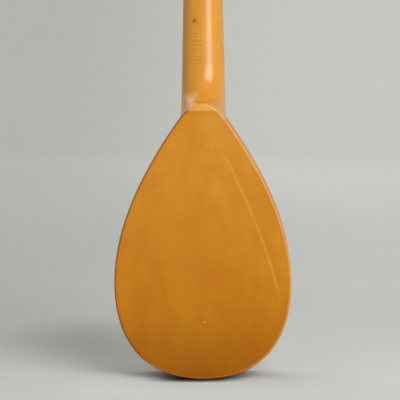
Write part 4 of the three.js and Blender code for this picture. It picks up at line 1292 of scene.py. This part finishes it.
def inlaid_ring(name, inner, outer, material, slot):
    """A flat ring: a narrow rectangle turned about the sound hole's axis."""
    profile = [(inner, -inlay_depth), (outer, -inlay_depth), (outer, inlay_proud), (inner, inlay_proud)]
    return fitted(solid(name, [lathe(hole_centre, front, profile, ring_sides, True)]), material, slot)


inlaid_ring("rosette_inner_line", rosette_radii[0], rosette_radii[1], dark_line, "rosewood")
inlaid_ring("rosette_band", rosette_radii[1], rosette_radii[2], pale_line, "pale_spruce")
inlaid_ring("rosette_outer_line", rosette_radii[2], rosette_radii[3], dark_line, "rosewood")
print("rosette radii in mm:", rosette_radii / mm)

# %% [markdown]
# ## Tuners
# A friction tuner is a post that passes through the headstock in a flanged bushing. A collar stands behind,
# and a button is drawn up on the post's end by a screw. Stacked cylinders could stand for them, but these
# are turned pieces, so each is one outline turned about the tuner's axis, with its bore, shoulders and
# bevels in it. Only the button has wings, and is made another way. The four tuners are alike, and a loop
# puts them on.

# %% Tuner sizes
flange_radius, flange_top_radius, flange_height = 5 * mm, 4.4 * mm, 1.2 * mm
bushing_bore, bushing_radius, bushing_depth = 3.1 * mm, 3.9 * mm, 5 * mm
collar_radius, collar_neck_radius, collar_rim, spigot_length = 5.6 * mm, 4.8 * mm, 1.4 * mm, 8 * mm
post_radius, post_waist, post_height = 3 * mm, 2.6 * mm, 11.6 * mm
post_head, post_bevel, shank_radius = 2.2 * mm, 0.7 * mm, 2.2 * mm
shoulder_radius, shoulder_low, shoulder_high = 4 * mm, 1.25 * mm, 2.3 * mm
button_start, button_length = 17.1 * mm, 15 * mm
button_end = button_start + button_length
collar_gap, shank_length, head_sunk, tapped_beyond = 0.15 * mm, 8 * mm, 0.62 * mm, 0.3 * mm
collar_end = button_start - collar_gap
post_end = button_start + shank_length
screw_radius, screw_length = 1.1 * mm, 12 * mm
screw_head_radius, screw_head_height = 2.7 * mm, 1.3 * mm
screw_top_radius = 0.55 * screw_head_radius
screw_dome, screw_edge = 0.5 * mm, 0.35 * mm
screw_seat, screw_end = button_end - head_sunk, button_end - screw_length
tapped_radius, tapped_end = 1.4 * mm, screw_end - tapped_beyond
soft_edge = 0.25 * mm
contact = 0.02 * mm
print("post stands out of the headstock by mm:", post_height / mm)

# %% Turned pieces
neck_foot = post_height - post_head
collar_front = -head_thickness - contact
screw_top = screw_seat + screw_head_height

# Radius and height in front of the headstock's face. The first two outlines close on themselves.
ferrule_outline = rounded([
    (bushing_bore, -bushing_depth), (bushing_bore, flange_height), (flange_top_radius, flange_height),
    (flange_radius, contact), (bushing_radius, contact), (bushing_radius, -bushing_depth),
    (bushing_bore, -bushing_depth),
], soft_edge)[:-1]
collar_outline = rounded([
    (bushing_bore, -collar_end), (bushing_bore, -spigot_length), (bushing_radius, -spigot_length),
    (bushing_radius, collar_front), (collar_radius, collar_front),
    (collar_radius, collar_front - collar_rim), (collar_neck_radius, -collar_end),
    (bushing_bore, -collar_end),
], soft_edge)[:-1]
post_outline = rounded([
    (0, post_height), (post_radius - post_bevel, post_height), (post_radius, post_height - post_bevel),
    (post_radius, neck_foot), (post_waist, neck_foot - post_radius + post_waist),
    (post_waist, shoulder_high), (shoulder_radius, shoulder_high), (shoulder_radius, shoulder_low),
    (post_radius, shoulder_low), (post_radius, -button_start), (shank_radius, -button_start),
    (shank_radius, -post_end), (tapped_radius, -post_end), (tapped_radius, -tapped_end), (0, -tapped_end),
], soft_edge)
screw_outline = rounded([
    (0, -screw_end), (screw_radius, -screw_end), (screw_radius, -screw_seat),
    (screw_head_radius, -screw_seat), (screw_head_radius, screw_dome - screw_top),
    (screw_top_radius, -screw_top), (0, -screw_top),
], screw_edge)
turned = {
    "ferrule": ferrule_outline, "collar": collar_outline, "button": None,
    "post": post_outline, "screw": screw_outline,
}
print("corners of the turned outlines:", [len(line) for line in turned.values() if line is not None])

# %% [markdown]
# ## Tuner buttons
# A button has two flat wings on a round hub. Separate bodies joined by a boolean would leave a crease
# between them, which a moulded button hasn't. So at each depth the outline is a smooth maximum of a circle
# and a flat rounded ellipse, and the wings flow out of the hub. The outer end is rounded, and a recess
# takes the screw's head.

# %% Buttons
# At each share of the length: how far the wings reach, and how round the section still is.
button_sections = np.array([
    (0, 0, 1), (0.16, 0.02, 0.9), (0.3, 0.28, 0.5), (0.45, 0.72, 0.22),
    (0.62, 0.96, 0.1), (0.78, 1, 0.04), (0.92, 0.86, 0), (1, 0.6, 0),
])
button_foot, button_hub, button_reach, button_half_thickness = 4.4 * mm, 4 * mm, 9.5 * mm, 2.8 * mm
button_round, hub_round, smooth_power, wing_power = 1.3 * mm, 0.5 * mm, 9, 2.3
button_bore, recess_radius, recess_depth = 3.1 * mm, 3 * mm, 0.65 * mm
button_rows, button_sides = 48, 72
softening = np.array([1, 2, 3, 2, 1]) / 9


def button(base):
    """Radius at an angle: (hub^k + wing^k)^(1/k). The wing is |cos/b|^n + |sin/a|^n = 1 in polar form."""
    share = np.linspace(0, 1, button_rows)
    drawn = [np.interp(share, button_sections[:, 0], button_sections[:, k]) for k in (1, 2)]
    reach_share, swell = (np.convolve(np.pad(line, 2, "edge"), softening, "valid") for line in drawn)
    reach = mix(button_foot, button_reach, reach_share)[:, None]
    thick = mix(button_half_thickness, button_foot, swell)[:, None]
    depth = button_start + share * button_length
    left = np.clip((button_end - depth) / button_round, 0, 1)
    rounding = (1 - np.sqrt(1 - (1 - left) ** 2))[:, None]
    around = np.linspace(0, 2 * math.pi, button_sides, endpoint=False)
    cos, sin = np.cos(around), np.sin(around)
    wing = (np.abs(cos / thick) ** wing_power + np.abs(sin / reach) ** wing_power) ** (-1 / wing_power)
    wing, hub = wing - button_round * rounding, button_hub - hub_round * rounding
    outer = (wing**smooth_power + hub**smooth_power) ** (1 / smooth_power)
    inner = np.array([
        (recess_radius, button_end), (recess_radius, button_end - recess_depth),
        (tapped_radius, button_end - recess_depth), (tapped_radius, post_end + contact),
        (button_bore, post_end + contact), (button_bore, button_start),
    ])
    radii = np.vstack([outer, np.repeat(inner[:, :1], button_sides, 1)])
    depths = np.concatenate([depth, inner[:, 1]])[:, None, None]
    ring = (radii * cos)[..., None] * (1, 0, 0) + (radii * sin)[..., None] * head_along
    return shell(base + ring - depths * head_out, loop_rows=True)


print("button length in mm:", button_length / mm)

# %% Put the tuners on
string_hole_height, string_hole_radius, drill_sides = 8.4 * mm, 0.85 * mm, 24
hole_drill = [
    (0, -shoulder_radius), (string_hole_radius, -shoulder_radius),
    (string_hole_radius, shoulder_radius), (0, shoulder_radius),
]
slot_half_width, slot_floor, slot_reach = 0.35 * mm, 0.6 * mm, 3.24 * mm


def string_hole(base):
    """A round drill across the post."""
    return solid("drill", [lathe(base + string_hole_height * head_out, head_along, hole_drill, drill_sides)])


def screw_slot(base):
    """A thin bar across the screw's head: two upright rows between two poles."""
    across = np.array([-1, 1, 1, -1])[:, None] * slot_half_width * head_along
    low, high = screw_top - slot_floor, screw_top + overrun
    deep = np.array([low, low, high, high])[:, None] * head_out
    rows = np.array([base + way * np.array([slot_reach, 0, 0]) + across - deep for way in (-1, 1)])
    return solid("slot", [shell(capped(rows, *rows.mean(axis=1)))])


for peg, base in peg_base.items():
    letter = peg[-1]
    for kind, outline in turned.items():
        still = kind in ("ferrule", "collar")
        surface = button(base) if kind == "button" else lathe(base, head_out, outline, closed=still)
        made = solid(f"{kind}_{letter}", [surface])
        if kind == "post":
            carved(made, [string_hole(base)], "DIFFERENCE")
        if kind == "screw":
            carved(made, [screw_slot(base)], "DIFFERENCE")
        finish = (cream_plastic, "cream_plastic") if kind == "button" else (nickel, "nickel")
        fitted(made, *finish, "instrument" if still else peg, [f"tuner_{kind}_{letter}"])
print("tuners:", len(peg_base))

# %% [markdown]
# ## Strings
# Each string is knotted in the bridge, runs over the saddle and the nut, and goes round its post. It is
# held all the way, so its path follows from what it bears on, and nothing has to be simulated. The part
# that stays still is one tube. The turns above it, whose end goes through the post's hole, turn with the
# post. Both are circles carried along a path, and the turns are a helix.

# %% Where a string runs
string_order = ("g", "c", "e", "a")
string_diameters = {"g": 0.6 * mm, "c": 0.9 * mm, "e": 0.8 * mm, "a": 0.6 * mm}
spread_at_nut, spread_at_saddle = 27 * mm, 42 * mm
nut_rise, nut_drop = 0.8 * mm, 0.8 * mm
knot_lift, knot_up, slit_up = 2.4 * mm, 2 * mm, 6 * mm
string_bend, bend_steps = 1.2 * mm, 7
first_wrap_height, first_wrap_share = 3 * mm, 0.55
turn_steps = 36


def string_x(letter, z):
    """Place across, evenly between the two outer strings, whose spread grows towards the saddle."""
    spread = mix(spread_at_nut, spread_at_saddle, (nut_z - z) / scale_length)
    return spread * (string_order.index(letter) / 3 - 1 / 2)


def meeting(letter):
    """Way round and radius of the coil, and the angles where the string meets the post and its turn ends."""
    base = peg_base["peg_" + letter]
    way = 1 if base[0] < 0 else -1
    coil = post_waist + 2 * contact + string_diameters[letter] / 2
    aside = string_x(letter, nut_z) - base[0]
    back = -(base[2] - pivot_z) / math.cos(head_tilt)
    touch = math.atan2(back, aside) + way * math.acos(coil / math.hypot(aside, back))
    return way, coil, touch, touch + way * 2 * math.pi * first_wrap_share


def on_post(base, coil, angle, height):
    """Points on a circle about the post: base + coil (cos across + sin along) + height out."""
    angle, height = np.broadcast_arrays(np.atleast_1d(angle)[:, None], np.atleast_1d(height)[:, None])
    return base + coil * (np.cos(angle) * (1, 0, 0) + np.sin(angle) * head_along) + height * head_out


def string_path(letter):
    """Knot, slit, saddle, both edges of the nut, and part of a turn round the post."""
    base, (way, coil, touch, end) = peg_base["peg_" + letter], meeting(letter)
    radius = string_diameters[letter] / 2 + contact
    x_saddle, x_nut = string_x(letter, saddle_z), string_x(letter, nut_z)
    nut_floor = nut_low[1] + nut_rise
    bends = rounded([
        (x_saddle, face_y - knot_lift, bridge_low[2] + knot_up),
        (x_saddle, bridge_low[1] - radius, bridge_low[2] + slit_up),
        (x_saddle, saddle_low[1] - radius, saddle_z),
        (x_nut, nut_floor - radius, nut_z),
        (x_nut, nut_floor + nut_drop - radius, pivot_z),
        on_post(base, coil, touch, first_wrap_height)[0],
    ], string_bend, bend_steps)
    turn = np.linspace(touch, end, int(first_wrap_share * turn_steps))
    return np.vstack([bends[:-1], on_post(base, coil, turn, first_wrap_height)])


print("string spread at the nut in mm:", spread_at_nut / mm)

# %% Turns on the posts and knots
turn_pitch_share, turn_gap_share, below_hole_share = 1.15, 1.3, 1.2
hook_angle, hook_steps = math.radians(50), 12
tail_reach, tail_steps = 5 * mm, 7
knot_size, knot_points, knot_thin_share = 1.15 * mm, 60, 0.8
string_crease = 60


def winding_path(letter):
    """A helix from the first turn up to the hole, a quadratic bend into it, and a short straight tail."""
    base, (way, coil, _, start_angle) = peg_base["peg_" + letter], meeting(letter)
    diameter = string_diameters[letter]
    pitch = turn_pitch_share * diameter
    low = first_wrap_height + turn_gap_share * pitch
    high = string_hole_height - below_hole_share * diameter
    end_angle = math.pi / 2 - way * hook_angle
    apart = way * (end_angle - start_angle) / (2 * math.pi)
    fraction = apart - math.floor(apart)
    turns = fraction + math.floor((high - low) / pitch - fraction)
    share = np.linspace(0, 1, int(turns * turn_steps))
    angle = end_angle - way * 2 * math.pi * turns * (1 - share)
    helix = on_post(base, coil, angle, low + turns * pitch * share)
    middle = base + string_hole_height * head_out
    corner = middle + coil / math.cos(hook_angle) * head_along
    inside = middle + post_waist / 2 * head_along
    t = np.linspace(0, 1, hook_steps)[1:, None]
    hook = (1 - t) ** 2 * helix[-1] + 2 * t * (1 - t) * corner + t**2 * inside
    tail = middle + np.linspace(post_waist / 2, -tail_reach, tail_steps)[1:, None] * head_along
    return np.vstack([helix, hook, tail])


def knot_path(letter):
    """A trefoil: (sin t + 2 sin 2t, cos t - 2 cos 2t, -sin 3t) over three, as an overhand knot lies."""
    t = np.linspace(0, 2 * math.pi, knot_points)
    x, y, z = np.sin(t) + 2 * np.sin(2 * t), np.cos(t) - 2 * np.cos(2 * t), -np.sin(3 * t)
    place = np.array([string_x(letter, saddle_z), face_y - knot_lift, bridge_low[2] + knot_up])
    return place + knot_size * np.column_stack([x, y, z]) / 3


for letter in string_order:
    radius = string_diameters[letter] / 2
    knot = tube(knot_path(letter), knot_thin_share * radius, (0, 0, 1))
    still = [tube(string_path(letter), radius, head_out), knot]
    line = solid(f"playing_string_{letter}", still, string_crease)
    fitted(line, nylon, "nylon", stands_for=[f"string_{letter}"])
    turns = solid(f"post_turns_{letter}", [tube(winding_path(letter), radius, head_out)], string_crease)
    fitted(turns, nylon, "nylon", "peg_" + letter, [f"string_winding_{letter}"])
    print("string", letter, "length in mm:", round(length_along(string_path(letter))[-1] / mm))

# %% [markdown]
# ## Floor and light
# The floor is a round dish of pale paper that rises smoothly far away, so no edge or horizon shows from any
# side. In a studio such a sweep has lamps of its own, and here the paper glows a little where it is far
# from the instrument. It is darker on one side and under the key lamp, so that the lamp leaves no bright
# pool, and soft ovals shade it: the contact under the tail, the shadow on the left, and two wide ones.
# Before the tail an oval takes back the warm light that the back plate throws there. The key is large and
# soft, and stands before the back, high and to the right of the picture. A low one with a narrow cool beam
# lights the side of the neck, and a weaker one stands before the front.

# %% Floor
floor_radius, rise_radius, wall_height = 3.8, 1.0, 1.8
flat_radii = np.array([0, 0.3, 0.6, 1, 1.5, 2.2, 3])
rise_steps, floor_sides = 16, 96


def dish():
    """A flat disc, a quarter circle up, and a wall, turned about the middle."""
    angle = np.linspace(0, math.pi / 2, rise_steps)
    rise = np.column_stack([floor_radius + rise_radius * np.sin(angle), rise_radius * (1 - np.cos(angle))])
    wall = [(floor_radius + rise_radius, rise_radius + wall_height)]
    profile = np.vstack([np.column_stack([flat_radii, 0 * flat_radii]), rise, wall])
    around = np.linspace(0, 2 * math.pi, floor_sides, endpoint=False)
    x, y = profile[:, :1] * np.cos(around), profile[:, :1] * np.sin(around)
    return np.stack(np.broadcast_arrays(x, y, profile[:, 1:]), axis=-1)


grid = dish()
first, four, three = weld(grid.reshape(-1, 3), grid_faces(*grid.shape[:2], False, True))
floor_mesh = bpy.data.meshes.new("floor")
floor_mesh.from_pydata(grid.reshape(-1, 3)[first].tolist(), [], four.tolist() + three.tolist())
floor_mesh.polygons.foreach_set("use_smooth", np.ones(len(floor_mesh.polygons), bool))
floor = bpy.data.objects.new("floor", floor_mesh)
bpy.context.scene.collection.objects.link(floor)
print("floor faces:", len(floor_mesh.polygons))

# %% Paper
paper_tones, paper_grain = (colour(207, 208, 202), colour(212, 213, 207)), (40, 40, 40)
paper_glow, glow_from, glow_to, glow_gain = 0.205, 0.55, 3.5, 1.5
shade_from, shade_to, shade_share = -0.2, 0.6, 0.82
under_key, under_key_reach, under_key_share = (-0.93, 1.43, 0.0), 1.6, 0.45
# A soft oval: its middle and half widths in metres, where its fade starts and ends, and its tint.
under_tail = ((0.007, 0.033, 0), (0.05, 0.02, 1), 0.3, 1.15, (0.07, 0.07, 0.07))
before_tail = ((0, 0.075, 0), (0.16, 0.12, 1), 0.2, 1.0, (1.09, 1.155, 1.24))
left_shadow = ((0.13, -0.26, 0), (0.13, 0.2, 1), 0.0, 1.0, (0.8, 0.79, 0.77))
left_floor = ((0.45, -1.6, 0), (0.75, 2.1, 1), 0.4, 1.0, (0.9, 0.9, 0.9))
beyond = ((0, -0.36, 0), (1.8, 0.46, 1), 0.2, 1.0, (0.94, 0.94, 0.94))
ovals = (under_tail, before_tail, left_shadow, left_floor, beyond)


def vector_maths(operation, a, b, key=1, output=0):
    """A Vector Math node on a vector and another one, or on a vector and a number where the key is Scale."""
    return add(a.tree, "VectorMath", {0: a, key: b}, output, operation=operation)


def distance(a, b):
    """How far apart two places are."""
    return vector_maths("DISTANCE", a, b, output="Value")


paper, shader, tree = new_material("paper", {"Roughness": 0.9, "Specular IOR Level": 0.1})
at = object_coordinates(tree)
flat_place = vector_maths("MULTIPLY", at, (1, 1, 0))
shade = between(part(at, "X"), shade_from, shade_to, 1.0, shade_share)
shade *= between(distance(flat_place, under_key), 0.0, under_key_reach, under_key_share, 1.0)
grey = vector_maths("SCALE", blend(noise(at, paper_grain), *paper_tones), shade, "Scale")
for middle, half_widths, near, far, tint in ovals:
    offset = vector_maths("DIVIDE", vector_maths("SUBTRACT", flat_place, middle), half_widths)
    inside = fading(distance(offset, (0, 0, 0)), near, far)
    grey = blend(inside, grey, vector_maths("MULTIPLY", grey, tint))
plug(shader, {
    "Base Color": grey,
    "Emission Color": vector_maths("SCALE", grey, glow_gain, "Scale"),
    "Emission Strength": between(distance(flat_place, (0, 0, 0)), glow_from, glow_to, 0.0, paper_glow),
})
floor_mesh.materials.append(paper)
print("soft ovals on the paper:", len(ovals))

# %% Light


def area_light(name, place, aim, width, height, power, tint=(1, 1, 1), spread=180):
    """A rectangular light at a place, turned to a point, hidden from the camera."""
    data = bpy.data.lights.new(name, "AREA")
    data.shape, data.size, data.size_y = "RECTANGLE", width, height
    data.energy, data.color, data.spread = power, tint, math.radians(spread)
    made = bpy.data.objects.new(name, data)
    made.location = place
    made.rotation_euler = (Vector(place) - Vector(aim)).to_track_quat("Z", "Y").to_euler()
    made.visible_camera = False
    bpy.context.scene.collection.objects.link(made)
    return made


body_middle, neck_middle = (0, 0, 0.2), (0, 0, 0.32)
key_place, low_place, front_place = (-1.2, 1.85, 1.65), (-1.0, 1.8, 0.45), (0.9, -1.7, 2.4)
cool, narrow = (0.7, 0.88, 1.0), 80
room_colour, room_strength = (0.96, 0.98, 1.0, 1.0), 0.44

area_light("key", key_place, body_middle, width=1.6, height=1.6, power=45.5)
area_light("low_light", low_place, neck_middle, width=0.85, height=0.8, power=2.1, tint=cool, spread=narrow)
area_light("front_light", front_place, body_middle, width=2.6, height=2.6, power=21)
world = bpy.data.worlds.new("room")
bpy.context.scene.world = world
world.use_nodes = True
background = world.node_tree.nodes["Background"].inputs
background["Color"].default_value = room_colour
background["Strength"].default_value = room_strength
bpy.context.scene.view_settings.view_transform = "Standard"
